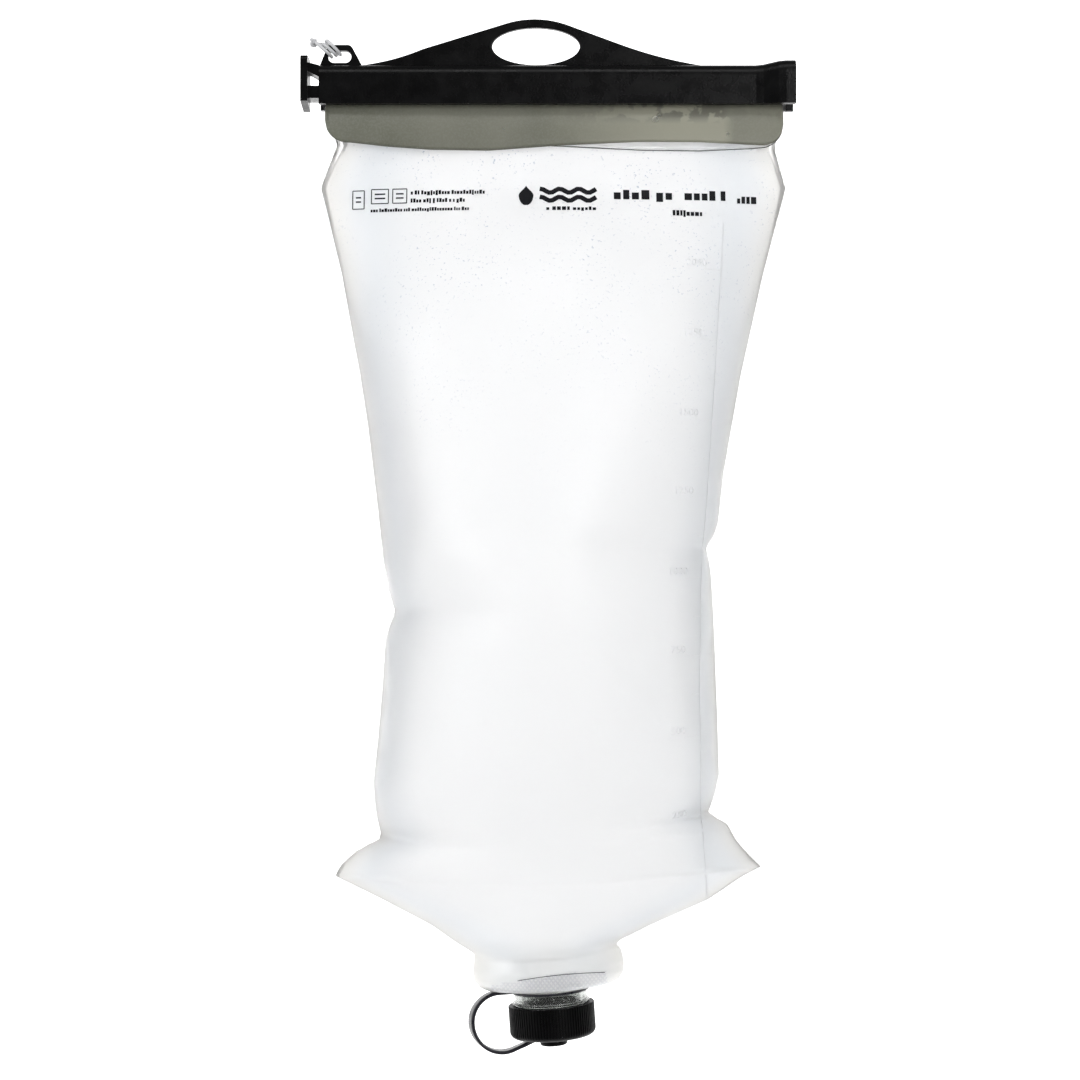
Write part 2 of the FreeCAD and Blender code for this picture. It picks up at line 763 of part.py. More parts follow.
def ribbed_outline(level):
    """Circle of fine grip ribs: alternating crest and valley corners."""
    ribs = int(size("cap_ribs"))
    crest = size("cap_radius")
    valley = crest - size("rib_depth")
    corners = []
    for rib in range(ribs):
        for part, radius in ((0.0, crest), (0.4, crest), (0.5, valley), (0.9, valley)):
            angle = 2 * math.pi * (rib + part) / ribs
            corners.append(Vector(radius * math.cos(angle), radius * math.sin(angle), level))
    return Part.makePolygon(corners + corners[:1])


def cap():
    """Ribbed screw cap with an internal thread and a mushroom stud on its end."""
    mouth = size("cap_mouth")
    bottom = size("cap_bottom")
    radius = size("cap_radius")
    edge = size("cap_edge_radius")
    ribbed = Part.Face(ribbed_outline(bottom)).extrude(Vector(0, 0, mouth - bottom))
    envelope = Part.makeCylinder(radius + 0.01, mouth - bottom, Vector(0, 0, bottom))
    low_edge = [e for e in envelope.Edges if e.BoundBox.ZMax < bottom + 0.01]
    high_edge = [e for e in envelope.Edges if e.BoundBox.ZMin > mouth - 0.01]
    envelope = envelope.makeFillet(edge, low_edge)
    envelope = envelope.makeFillet(size("cap_mouth_radius"), high_edge)
    hollow = Part.makeCylinder(size("cap_inner_radius"), mouth - bottom - size("cap_roof") + 1,
                               Vector(0, 0, bottom + size("cap_roof")))
    shell = ribbed.common(envelope).cut(hollow)
    ridge = thread_ridge(size("cap_inner_radius") + size("ridge_sink"), size("lug_inner_radius"),
                         size("lug_root_half"), size("lug_crest_half"),
                         size("thread_first") + size("thread_pitch") / 2, size("lug_turns"))
    stud = Part.makeCylinder(size("stud_radius"), size("stud_length"),
                             Vector(0, 0, bottom - size("stud_length") + 0.1))
    head_low = bottom - size("stud_length")
    head = Part.makeCylinder(size("stud_head_radius"), size("stud_head_height"),
                             Vector(0, 0, head_low))
    head = head.makeFillet(size("stud_head_edge"),
                           [e for e in head.Edges if e.BoundBox.ZMax < head_low + 0.01])
    solid = shell.fuse([ridge, stud, head])
    return new_feature("cap", solid.Solids[0], spout_placement())


def cap_liner():
    """Soft sealing disc between the cap's roof and the neck's rim."""
    high = -size("neck_length") - 0.05
    liner = Part.makeCylinder(size("liner_radius"), size("liner_thickness"),
                              Vector(0, 0, high - size("liner_thickness")))
    return new_feature("cap_liner", liner, spout_placement())


# ------------------------------------------------------------------ leash

def tangent_path(points):
    """Straight runs joined by tangent arcs, each arc as large as its two runs allow."""
    points = [Vector(*point) for point in points]
    edges = []
    radii = []
    here = points[0]
    for before, corner, after in zip(points, points[1:], points[2:]):
        inward = before.sub(corner)
        onward = after.sub(corner)
        run = min(inward.Length, onward.Length)
        inward.normalize()
        onward.normalize()
        half_turn = (math.pi - inward.getAngle(onward)) / 2
        radius = 0.45 * run / math.tan(half_turn)
        radii.append(round(radius, 1))
        start = corner.add(Vector(inward).multiply(0.45 * run))
        end = corner.add(Vector(onward).multiply(0.45 * run))
        toward = inward.add(onward).normalize()
        depth = radius / math.cos(half_turn) - radius
        edges.append(Part.LineSegment(here, start).toShape())
        edges.append(Part.Arc(start, corner.add(toward.multiply(depth)), end).toShape())
        here = end
    edges.append(Part.LineSegment(here, points[-1]).toShape())
    return Part.Wire(edges), radii


def leash_cord():
    path, radii = tangent_path(LEASH_ROUTE)
    radius = size("leash_radius")
    start = Vector(*LEASH_ROUTE[0])
    along = Vector(*LEASH_ROUTE[1]).sub(start)
    section = Part.Wire([Part.Circle(start, along, radius).toShape()])
    tube = path.makePipeShell([section], True, False)
    expected = math.pi * radius ** 2 * path.Length
    print("leash radii", radii, "length", round(path.Length, 1),
          "volume ratio", round(tube.Volume / expected, 4))
    return new_feature("leash_cord", tube)


def leash_knot():
    """Overhand knot, as a round lump that both ends of the loop run into."""
    start = Vector(*LEASH_ROUTE[0])
    end = Vector(*LEASH_ROUTE[-1])
    middle = start.add(end).multiply(0.5).add(Vector(-1.0, 0, 0.2))
    lump = Part.makeSphere(1.0)
    stretch = FreeCAD.Matrix()
    stretch.scale(size("knot_radius"), size("knot_radius") + 0.6, size("knot_radius"))
    lump = lump.transformGeometry(stretch)
    lump.translate(middle)
    return new_feature("leash_knot", lump)


# ------------------------------------------------------------------ document

def check_and_write():
    doc.recompute()
    for item in doc.Objects:
        if "Invalid" in item.State or "Error" in item.State:
            raise RuntimeError(item.Label + " failed: " + str(item.State))
    os.makedirs("parts", exist_ok=True)
    for item in doc.Objects:
        if item.TypeId not in ("PartDesign::Body", "Part::Feature", "Part::Cylinder"):
            continue
        shape = item.Shape
        if shape.isNull() or not shape.isValid() or not shape.Solids:
            raise RuntimeError(item.Label + " has no valid solid")
        shape.exportStep(f"parts/{item.Label}.step")
        print(item.Label, "solids", len(shape.Solids), "volume", round(shape.Volume, 1))


doc = FreeCAD.newDocument("water_bag")
sheet = make_sheet(doc)
closure_bar()
fold_rail()
folded_lip("inner_mouth_lip", 0, size("inner_lip_bottom"))
folded_lip("outer_mouth_lip", 1, size("outer_lip_bottom"))
bag_film("front_film", -1)
bag_film("back_film", 1)
weld_strips()
spout()
spout_weld("front_spout_weld", -1)
spout_weld("back_spout_weld", 1)
tether_neck_ring()
tether_strap()
tether_button_ring()
cap()
cap_liner()
leash_cord()
leash_knot()
check_and_write()
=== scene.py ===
import math
import random

import bpy
import bmesh
import numpy as np
from mathutils import Matrix, Vector, noise
from mathutils.bvhtree import BVHTree


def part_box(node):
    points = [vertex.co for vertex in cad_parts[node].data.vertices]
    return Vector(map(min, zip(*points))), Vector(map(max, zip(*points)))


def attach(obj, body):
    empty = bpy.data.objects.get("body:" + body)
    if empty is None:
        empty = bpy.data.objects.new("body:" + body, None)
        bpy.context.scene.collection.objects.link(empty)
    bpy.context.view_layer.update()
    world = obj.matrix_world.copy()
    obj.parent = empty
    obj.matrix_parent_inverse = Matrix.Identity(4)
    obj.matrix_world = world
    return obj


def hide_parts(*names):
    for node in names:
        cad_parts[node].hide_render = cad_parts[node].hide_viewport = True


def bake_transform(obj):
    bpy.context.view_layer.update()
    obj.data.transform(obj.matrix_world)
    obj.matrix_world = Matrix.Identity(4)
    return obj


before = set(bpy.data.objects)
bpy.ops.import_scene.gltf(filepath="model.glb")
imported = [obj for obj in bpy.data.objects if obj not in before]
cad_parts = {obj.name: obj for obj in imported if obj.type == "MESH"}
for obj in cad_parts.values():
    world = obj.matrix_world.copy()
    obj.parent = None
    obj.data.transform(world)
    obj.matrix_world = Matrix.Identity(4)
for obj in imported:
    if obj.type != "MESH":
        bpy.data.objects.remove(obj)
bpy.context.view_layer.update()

MM = 0.001
SEED = 7

# Sizes in metres, in the CAD frame: x along the closure bar, -y the front, z up.
FILM = 0.4 * MM
SLOT_LEVEL = -20.8 * MM               # underside of the bar's slot, where the film hangs out
MOUTH_LEFT, MOUTH_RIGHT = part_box("outer_mouth_lip")[0][0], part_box("outer_mouth_lip")[1][0]
MARGIN = 1.6 * MM                     # weld margin outside the side seams
SHOULDER_LEVEL = -0.052               # above this the margin widens to the mouth's own width
LIP_OVERHANG = 1.2 * MM               # how far the margin there stands out past the lips
INK_HEIGHT = 0.16                     # print on the film, in millimetres

# Spout frame: middle of the boat's underside, and how far the spout leans.
SPOUT_ORIGIN = Vector((5.2, 0.0, -347.7)) * MM
SPOUT_LEAN = math.radians(4.0)
# Film over the boat: level above the boat's underside, half length, half depth, in millimetres.
BOAT_STATIONS = [(13.0, 27.1, 13.5), (8.0, 28.1, 14.7), (4.0, 27.7, 15.1), (1.2, 25.6, 14.8),
                 (0.1, 22.8, 13.6)]

# Side edges of the film bag, top to bottom: (level, x) in millimetres.
LEFT_EDGE = [(-20.5, -78.4), (-36.5, -73.6), (-52.0, -79.6), (-66, -76.2), (-84.4, -71.8),
             (-103, -68.5), (-121, -65.1), (-140, -62.2), (-168, -58.8), (-190, -56.4),
             (-200, -54.6), (-209, -51.9), (-214, -54.0), (-220, -55.7), (-235, -56.6),
             (-260, -58.8), (-272, -60.1), (-283, -59.2), (-292.5, -57.1), (-297, -66.0),
             (-303, -72.6), (-306.7, -74.2)]
RIGHT_EDGE = [(-20.5, 91.6), (-38.0, 88.3), (-52.5, 92.4), (-66, 88.8), (-84.4, 84.0),
              (-103, 79.9), (-121, 75.9), (-140, 72.5), (-158, 69.3), (-176, 67.4),
              (-181, 65.6), (-185.4, 62.9), (-191, 64.2), (-197, 64.9), (-216, 65.9),
              (-251, 67.2), (-269, 67.7), (-277, 66.0), (-283.4, 63.6), (-287.5, 71.0),
              (-293, 73.8), (-297.5, 77.6), (-303.2, 83.3)]
# Bottom seams, from each ear's tip to the notch above the spout: (x, level) in millimetres.
LEFT_BOTTOM = [(-74.2, -306.7), (-56.2, -315.6), (-38.5, -324.9), (-30.7, -330.4), (-23.0, -335.4)]
RIGHT_BOTTOM = [(83.3, -303.2), (76.2, -306.9), (64.0, -315.2), (42.2, -324.9), (31.1, -330.4),
                (29.9, -331.8)]
# Half depth of the filled bag by level, in millimetres.
DEPTHS = [(-340, 13.7), (-335, 14.6), (-327, 19.5), (-318, 26), (-307, 33), (-295, 39.5),
          (-280, 45), (-260, 49), (-235, 50.5), (-200, 50), (-168, 47.5), (-140, 43.5),
          (-121, 39), (-103, 33.5), (-84.4, 25.5), (-66, 15.5), (-52, 8.5), (-38, 3.0), (-20, 0.5)]
# Crimps where the seam buckles inwards: side, level, depth of the fold, slope of its crease.
CRIMPS = [(-1, -209.0, 0.62, 0.55), (1, -185.4, 0.62, -0.45), (1, -283.4, 0.55, 0.75),
          (-1, -292.5, 0.5, 0.7)]


# ------------------------------------------------------------------ small tools

def mesh_piece(name, verts, faces, material, smooth=True):
    """New mesh object from vertices and faces, with one material."""
    mesh = bpy.data.meshes.new(name)
    mesh.from_pydata([tuple(v) for v in verts], [], faces)
    mesh.materials.append(material)
    mesh.polygons.foreach_set("use_smooth", [smooth] * len(mesh.polygons))
    mesh.update()
    piece = bpy.data.objects.new(name, mesh)
    bpy.context.scene.collection.objects.link(piece)
    return piece


def face_outwards(piece):
    """Turn every face's normal outwards."""
    shape = bmesh.new()
    shape.from_mesh(piece.data)
    bmesh.ops.recalc_face_normals(shape, faces=shape.faces)
    shape.to_mesh(piece.data)
    shape.free()
    return piece


def grid_faces(rows, columns, closed=False):
    """Faces between neighbouring rows of points; closed joins each row into a ring."""
    span = columns if closed else columns - 1
    return [(r * columns + c, r * columns + (c + 1) % columns,
             (r + 1) * columns + (c + 1) % columns, (r + 1) * columns + c)
            for r in range(rows - 1) for c in range(span)]


def apply_modifiers(piece):
    """Bake the piece's modifiers into its mesh."""
    bpy.context.view_layer.objects.active = piece
    for other in bpy.context.selected_objects:
        other.select_set(False)
    piece.select_set(True)
    for modifier in list(piece.modifiers):
        bpy.ops.object.modifier_apply(modifier=modifier.name)


def thicken(piece, thickness, offset=-1.0):
    """Give a sheet its thickness."""
    solid = piece.modifiers.new("thickness", "SOLIDIFY")
    solid.thickness = thickness
    solid.offset = offset
    solid.use_even_offset = True
    apply_modifiers(piece)
    face_outwards(piece)


def smooth_step(t):
    """Smooth rise from 0 to 1 as t runs from 0 to 1."""
    t = np.clip(t, 0.0, 1.0)
    return t * t * (3 - 2 * t)


def along(points, count):
    """count points, evenly spaced along a polyline of (a, b) pairs."""
    points = np.array(points, dtype=float)
    steps = np.concatenate([[0], np.cumsum(np.hypot(*np.diff(points, axis=0).T))])
    where = np.linspace(0, steps[-1], count)
    return np.column_stack([np.interp(where, steps, points[:, 0]),
                            np.interp(where, steps, points[:, 1])])


def spout_point(x, y, z):
    """A point of the spout's own frame, in the row frame."""
    lean = SPOUT_LEAN
    return SPOUT_ORIGIN + Vector((x * math.cos(lean) - z * math.sin(lean), y,
                                  x * math.sin(lean) + z * math.cos(lean)))


# ------------------------------------------------------------------ materials

class Nodes:
    """Short way to write a node tree."""

    def __init__(self, name, **sockets):
        self.material = bpy.data.materials.new(name)
        self.material.use_nodes = True
        self.tree = self.material.node_tree
        self.shader = self.tree.nodes["Principled BSDF"]
        for socket, value in sockets.items():
            self.shader.inputs[socket.replace("_", " ")].default_value = value

    def add(self, kind, **inputs):
        node = self.tree.nodes.new(kind)
        for socket, value in inputs.items():
            node.inputs[socket.replace("_", " ")].default_value = value
        return node

    def link(self, source, target):
        self.tree.links.new(source, target)

    def place(self):
        return self.add("ShaderNodeTexCoord").outputs["Object"]

    def noise(self, scale, detail=2.0, vector=None):
        node = self.add("ShaderNodeTexNoise", Scale=scale, Detail=detail)
        self.link(vector or self.place(), node.inputs["Vector"])
        return node.outputs["Fac"]

    def ramp(self, source, low, high, low_value, high_value):
        node = self.add("ShaderNodeMapRange", From_Min=low, From_Max=high, To_Min=low_value,
                        To_Max=high_value)
        self.link(source, node.inputs["Value"])
        return node.outputs["Result"]

    def blend(self, factor, first, second):
        node = self.tree.nodes.new("ShaderNodeMix")
        node.data_type = "RGBA"
        node.inputs["A"].default_value = (*first, 1)
        node.inputs["B"].default_value = (*second, 1)
        self.link(factor, node.inputs["Factor"])
        return node.outputs["Result"]

    def overlay(self, factor, base, over):
        node = self.tree.nodes.new("ShaderNodeMix")
        node.data_type = "RGBA"
        node.inputs["B"].default_value = (*over, 1)
        self.link(base, node.inputs["A"])
        self.link(factor, node.inputs["Factor"])
        return node.outputs["Result"]

    def multiply(self, first, second):
        node = self.tree.nodes.new("ShaderNodeMath")
        node.operation = "MULTIPLY"
        self.link(first, node.inputs[0])
        self.link(second, node.inputs[1])
        return node.outputs["Value"]

    def bump(self, height, strength, distance):
        node = self.add("ShaderNodeBump", Strength=strength, Distance=distance)
        self.link(height, node.inputs["Height"])
        previous = self.shader.inputs["Normal"]
        if previous.is_linked:
            self.link(previous.links[0].from_socket, node.inputs["Normal"])
        self.link(node.outputs["Normal"], previous)

    def colour(self, source):
        self.link(source, self.shader.inputs["Base Color"])

    def roughness(self, source):
        self.link(source, self.shader.inputs["Roughness"])


def black_plastic(name, grain, rough, gloss):
    """Black moulding: spark-eroded grain, faint scuffs and a slightly uneven gloss."""
    m = Nodes(name, Roughness=rough, Specular_IOR_Level=gloss)
    broad = m.noise(35, 3)
    m.colour(m.blend(m.ramp(broad, 0.35, 0.65, 0, 1), (0.0018, 0.0018, 0.002), (0.0034, 0.0034, 0.0036)))
    m.roughness(m.ramp(m.noise(160, 4), 0.3, 0.7, rough - 0.07, rough + 0.09))
    m.bump(m.noise(grain, 3), 0.6, 0.0001)
    m.bump(m.noise(240, 2), 0.1, 0.00015)
    return m.material


def frosted_film():
    """Translucent frosted polyurethane, with fine condensation specks in its upper part, a painted bluish
    shade band along the bag's curving sides, and a warm tint at the seams that is partly the thicker fused
    film and partly painted shade.
    """
    m = Nodes("frosted_film", Roughness=0.4, IOR=1.3, Transmission_Weight=0.72,
              Specular_IOR_Level=0.3)
    place = m.place()
    cloud = m.ramp(m.noise(22, 3), 0.3, 0.7, 0, 1)
    film = m.blend(cloud, (0.972, 0.975, 0.98), (0.988, 0.989, 0.992))
    specks = m.ramp(m.noise(1000, 2), 0.64, 0.69, 0, 1)
    patches = m.ramp(m.noise(38, 3), 0.38, 0.6, 0, 1)
    axes = m.add("ShaderNodeSeparateXYZ")
    m.link(place, axes.inputs["Vector"])
    high = m.ramp(axes.outputs["Z"], -0.17, -0.06, 0.0, 1.0)
    amount = m.multiply(m.multiply(specks, patches), high)
    film = m.overlay(amount, film, (0.5, 0.55, 0.63))
    distance = m.tree.nodes.new("ShaderNodeAttribute")
    distance.attribute_name = "from_seam"
    distance = distance.outputs["Fac"]
    # Painted shade: a bluish-grey band from 4 to 36 mm in from each side seam stands in for the darker
    # look of the bag's sides as they curve away.
    band = m.multiply(m.ramp(distance, 0.004, 0.016, 0, 1), m.ramp(distance, 0.018, 0.036, 0.5, 0))
    film = m.overlay(band, film, (0.86, 0.885, 0.91))
    # Warm, slightly darker tint within 11 mm of the seams: partly the thicker fused film's own colour,
    # partly painted shade along the edges.
    m.colour(m.overlay(m.ramp(distance, 0.0, 0.011, 0.8, 0), film, (0.935, 0.925, 0.9)))
    m.roughness(m.ramp(m.noise(90, 3), 0.3, 0.7, 0.34, 0.48))
    m.bump(m.noise(2600, 2), 0.2, 0.00004)
    m.bump(m.noise(70, 2), 0.2, 0.0006)
    return m.material


def clear_film():
    """Clear fused film of the weld margins."""
    m = Nodes("clear_film", Roughness=0.3, IOR=1.05, Transmission_Weight=0.94)
    m.colour(m.blend(m.ramp(m.noise(60, 2), 0.3, 0.7, 0, 1), (0.98, 0.98, 0.97), (0.995, 0.995, 0.99)))
    m.bump(m.noise(900, 2), 0.3, 0.00008)
    return m.material


def sealed_film():
    """Film over the boat, pressed with the seal's fine crosshatch."""
    m = Nodes("sealed_film", Roughness=0.3, IOR=1.42, Transmission_Weight=0.5)
    place = m.place()
    heights = []
    for turn in (40, -40):
        mapping = m.add("ShaderNodeMapping")
        mapping.inputs["Rotation"].default_value = (0, math.radians(turn), 0)
        m.link(place, mapping.inputs["Vector"])
        wave = m.tree.nodes.new("ShaderNodeTexWave")
        wave.bands_direction = "X"
        wave.inputs["Scale"].default_value = 260
        m.link(mapping.outputs["Vector"], wave.inputs["Vector"])
        heights.append(wave.outputs["Fac"])
    join = m.tree.nodes.new("ShaderNodeMath")
    join.operation = "MINIMUM"
    m.link(heights[0], join.inputs[0])
    m.link(heights[1], join.inputs[1])
    m.colour(m.blend(join.outputs["Value"], (0.80, 0.81, 0.84), (0.97, 0.97, 0.975)))
    m.bump(join.outputs["Value"], 0.6, 0.0003)
    return m.material


def grey_film():
    """Smoky olive-grey lip film, lighter to the right where moisture lies behind it."""
    m = Nodes("grey_film", Roughness=0.36, IOR=1.42, Transmission_Weight=0.25,
              Specular_IOR_Level=0.45)
    smoky = m.blend(m.ramp(m.noise(24, 4), 0.35, 0.7, 0, 1), (0.185, 0.19, 0.15), (0.245, 0.245, 0.2))
    axes = m.add("ShaderNodeSeparateXYZ")
    m.link(m.place(), axes.inputs["Vector"])
    wet = m.multiply(m.ramp(axes.outputs["X"], 0.0, 0.05, 0, 0.85),
                     m.ramp(axes.outputs["X"], 0.069, 0.073, 1, 0.25))
    drips = m.multiply(m.ramp(m.noise(150, 4), 0.47, 0.51, 0, 1),
                       m.ramp(axes.outputs["Z"], -0.0292, -0.0262, 0, 1))
    grain = m.ramp(m.noise(1300, 2), 0.45, 0.62, 0, 0.3)
    smoky = m.overlay(grain, smoky, (0.3, 0.3, 0.25))
    pale = m.overlay(wet, smoky, (0.42, 0.415, 0.33))
    m.colour(m.overlay(m.multiply(drips, wet), pale, (0.17, 0.17, 0.14)))
    m.roughness(m.ramp(m.noise(120, 3), 0.3, 0.7, 0.3, 0.46))
    m.bump(m.noise(1800, 2), 0.3, 0.00006)
    m.bump(m.noise(45, 2), 0.3, 0.0006)
    return m.material


def clear_plastic():
    """Clear moulded neck with faint flow marks, milky where the thick boat is; the neck below the boat is
    painted dark grey as shade seen through it, and the boat part carries a faint painted glow.
    """
    m = Nodes("clear_spout", Roughness=0.08, IOR=1.45)
    axes = m.add("ShaderNodeSeparateXYZ")
    m.link(m.place(), axes.inputs["Vector"])
    milky = m.blend(m.noise(50, 2), (0.93, 0.94, 0.94), (0.99, 0.99, 0.985))
    # Painted shade: below the boat's underside the neck is darkened towards grey, for the shade seen
    # through the clear neck.
    m.colour(m.overlay(m.ramp(axes.outputs["Z"], -0.3486, -0.3478, 0.8, 0), milky, (0.36, 0.38, 0.36)))
    m.roughness(m.ramp(m.noise(140, 3), 0.35, 0.7, 0.04, 0.14))
    m.bump(m.noise(300, 2), 0.12, 0.0002)
    m.bump(m.ramp(m.noise(700, 2), 0.62, 0.68, 0, 1), 0.3, 0.0002)
    clear = m.ramp(axes.outputs["Z"], -0.3478, -0.3466, 0.95, 0.35)
    m.link(clear, m.shader.inputs["Transmission Weight"])
    # Painted glow: the boat part emits a little light of its own, though it is no lamp.
    painted_glow = m.ramp(axes.outputs["Z"], -0.3478, -0.3466, 0.0, 0.22)
    m.shader.inputs["Emission Color"].default_value = (1, 0.99, 0.96, 1)
    m.link(painted_glow, m.shader.inputs["Emission Strength"])
    return m.material


def white_plastic():
    """White extruded plastic of the fold rail."""
    m = Nodes("white_rail", Roughness=0.4)
    m.colour(m.blend(m.noise(80, 2), (0.78, 0.78, 0.76), (0.86, 0.86, 0.84)))
    m.bump(m.noise(900, 2), 0.2, 0.0001)
    return m.material


def liner_foam():
    """Soft white seal inside the cap."""
    m = Nodes("white_liner", Roughness=0.7)
    m.colour(m.blend(m.noise(300, 3), (0.8, 0.8, 0.78), (0.9, 0.9, 0.88)))
    m.bump(m.noise(1500, 3), 0.4, 0.0001)
    return m.material


def cord_fibre():
    """Thin translucent braided cord."""
    m = Nodes("white_cord", Roughness=0.5, Transmission_Weight=0.3, IOR=1.45)
    m.colour(m.blend(m.noise(1400, 2), (0.72, 0.73, 0.75), (0.95, 0.95, 0.96)))
    m.bump(m.noise(2200, 2), 0.7, 0.0002)
    return m.material


def raised_film():
    """Embossed lines of the same film, nearly clear."""
    m = Nodes("raised_film", Roughness=0.45, IOR=1.08, Transmission_Weight=0.85)
    m.colour(m.blend(m.noise(400, 2), (0.93, 0.94, 0.95), (0.98, 0.98, 0.985)))
    m.bump(m.noise(1500, 2), 0.2, 0.00004)
    return m.material


def painted_rim_shade():
    """Painted shade: a dark line along the rim of a film, standing in for how its edge looks against the
    light.
    """
    m = Nodes("painted_rim_shade", Roughness=0.35)
    m.colour(m.blend(m.noise(300, 2), (0.02, 0.02, 0.018), (0.05, 0.05, 0.045)))
    m.bump(m.noise(900, 2), 0.2, 0.00005)
    return m.material


def print_ink():
    """Matt black ink."""
    m = Nodes("print_ink", Roughness=0.5, Specular_IOR_Level=0.15)
    m.colour(m.blend(m.noise(900, 2), (0.003, 0.003, 0.005), (0.008, 0.008, 0.011)))
    m.bump(m.noise(1800, 2), 0.2, 0.00004)
    return m.material


def strap_rubber():
    """Smooth black elastomer with a bluish sheen."""
    m = Nodes("strap_rubber", Roughness=0.34, Specular_IOR_Level=0.4)
    m.colour(m.blend(m.noise(60, 3), (0.010, 0.010, 0.014), (0.018, 0.018, 0.024)))
    m.roughness(m.ramp(m.noise(400, 3), 0.3, 0.7, 0.24, 0.38))
    m.bump(m.noise(700, 2), 0.15, 0.0001)
    return m.material


# ------------------------------------------------------------------ film bag

PANEL = 64                            # divisions across one panel
UPPER_ROWS = 126
LOWER_ROWS = 26
BOAT_ROWS = 12
SETTLE_FRAMES = 24                    # frames the cloth is run for
SETTLE_LIMIT = 4 * MM                 # furthest the cloth may move while it settles
SETTLE_PASSES = 5                     # averaging passes over that movement


def panel_section(half_width, depth, exponent):
    """(x, depth) points of one panel, evenly spaced along its arc."""
    turn = np.linspace(0, math.pi, 181)
    across = -half_width * np.cos(turn)
    bulge = depth * np.sin(turn) ** exponent
    steps = np.concatenate([[0], np.cumsum(np.hypot(np.diff(across), np.diff(bulge)))])
    where = np.linspace(0, steps[-1], PANEL + 1)
    return np.interp(where, steps, across), np.interp(where, steps, bulge)


def soften(values, reach):
    """Moving average over the rows, with the ends held."""
    padded = np.pad(values, reach, mode="edge")
    return np.convolve(padded, np.ones(2 * reach + 1) / (2 * reach + 1), mode="valid")


def edge_rows():
    """Each row of the bag as left end, right end, half depth and how pinched its sides are."""
    left = np.array(LEFT_EDGE)[::-1]
    right = np.array(RIGHT_EDGE)[::-1]
    levels_left = np.linspace(LEFT_EDGE[0][0], LEFT_EDGE[-1][0], UPPER_ROWS)
    levels_right = np.linspace(RIGHT_EDGE[0][0], RIGHT_EDGE[-1][0], UPPER_ROWS)
    ends = [(np.interp(zl, left[:, 0], left[:, 1]), zl, np.interp(zr, right[:, 0], right[:, 1]), zr)
            for zl, zr in zip(levels_left, levels_right)]
    for (xl, zl), (xr, zr) in zip(along(LEFT_BOTTOM, LOWER_ROWS + 1)[1:],
                                  along(RIGHT_BOTTOM, LOWER_ROWS + 1)[1:]):
        ends.append((xl, zl, xr, zr))
    levels = np.array([(row[1] + row[3]) / 2 for row in ends])
    depth_table = np.array(DEPTHS)
    depths = soften(np.interp(levels, depth_table[:, 0], depth_table[:, 1]), 4)
    shoulder = smooth_step((levels + 120) / 80)
    ear = smooth_step((-268 - levels) / 40) * (1 - 0.45 * smooth_step((-312 - levels) / 24))
    pinch = soften(1.0 + 0.55 * shoulder + 1.1 * ear, 3)
    return list(zip(ends, depths, pinch))


def boat_row(half_length, half_depth, level):
    """One ring round the boat, front from left to right and then back from right to left."""
    x, depth = panel_section(half_length, half_depth, 1.6)
    front = [spout_point(a, -b, level) for a, b in zip(x, depth)]
    back = [spout_point(a, b, level) for a, b in zip(x[::-1], depth[::-1])]
    return front[:-1] + back[:-1]


def relax(rings, first, last):
    """Even out the film from row to row, away from the side seams."""
    seams = np.minimum(np.arange(2 * PANEL) % PANEL, PANEL - np.arange(2 * PANEL) % PANEL)
    free = smooth_step((seams - 1) / 9)
    depths = np.array([[point.y for point in ring] for ring in rings])
    for _ in range(40):
        inner = depths[first:last]
        mean = (depths[first - 1:last - 1] + depths[first + 1:last + 1]) / 2
        depths[first:last] = inner + (mean - inner) * 0.5 * free
    for ring, row in zip(rings, depths):
        for point, depth in zip(ring, row):
            point.y = depth


def bag_rings():
    """Rings of points round the bag, from the mouth down to the underside of the boat."""
    rings = []
    for (xl, zl, xr, zr), deepest, pinch in edge_rows():
        half = (xr - xl) / 2 * MM
        x, depth = panel_section(half, deepest * MM, pinch)
        middle = (xl + xr) / 2 * MM
        share = (x + half) / (2 * half)
        level = (zl + (zr - zl) * share) * MM
        front = [Vector((middle + a, -b, c)) for a, b, c in zip(x, depth, level)]
        back = [Vector((middle + a, b, c)) for a, b, c in zip(x, depth, level)][::-1]
        rings.append(front[:-1] + back[:-1])
    relax(rings, UPPER_ROWS - 14, len(rings) - 3)
    stations = np.array(BOAT_STATIONS)[::-1] * MM
    for t in np.linspace(0, 1, BOAT_ROWS):
        level = 12.4 * MM * (1 - t) ** 1.3 + 0.1 * MM
        rings.append(boat_row(np.interp(level, stations[:, 0], stations[:, 1]),
                              np.interp(level, stations[:, 0], stations[:, 2]), level))
    return rings


def crimp(point, seam_distance):
    """Fold the film in along the creases that run from each buckle of the side seams."""
    scale = 1.0
    reach = 1 - float(smooth_step((seam_distance - 12 * MM) / (26 * MM)))
    for side, level, fold, slope in CRIMPS:
        if (point.x < 0.005) != (side < 0):
            continue
        crease = level * MM - slope * seam_distance
        near = math.exp(-((point.z - crease) / (4.5 * MM + 0.12 * seam_distance)) ** 2)
        scale -= fold * near * math.exp(-seam_distance / (15 * MM)) * reach
    ripple = noise.noise(Vector((point.z * 80, point.x * 4, 3.1)))
    fine = noise.noise(Vector((point.z * 190, point.x * 9, 9.7)))
    below = float(smooth_step((-0.058 - point.z) / 0.03))
    scale += (0.2 * ripple + 0.08 * fine) * below * math.exp(-seam_distance / (12 * MM)) * reach
    return scale


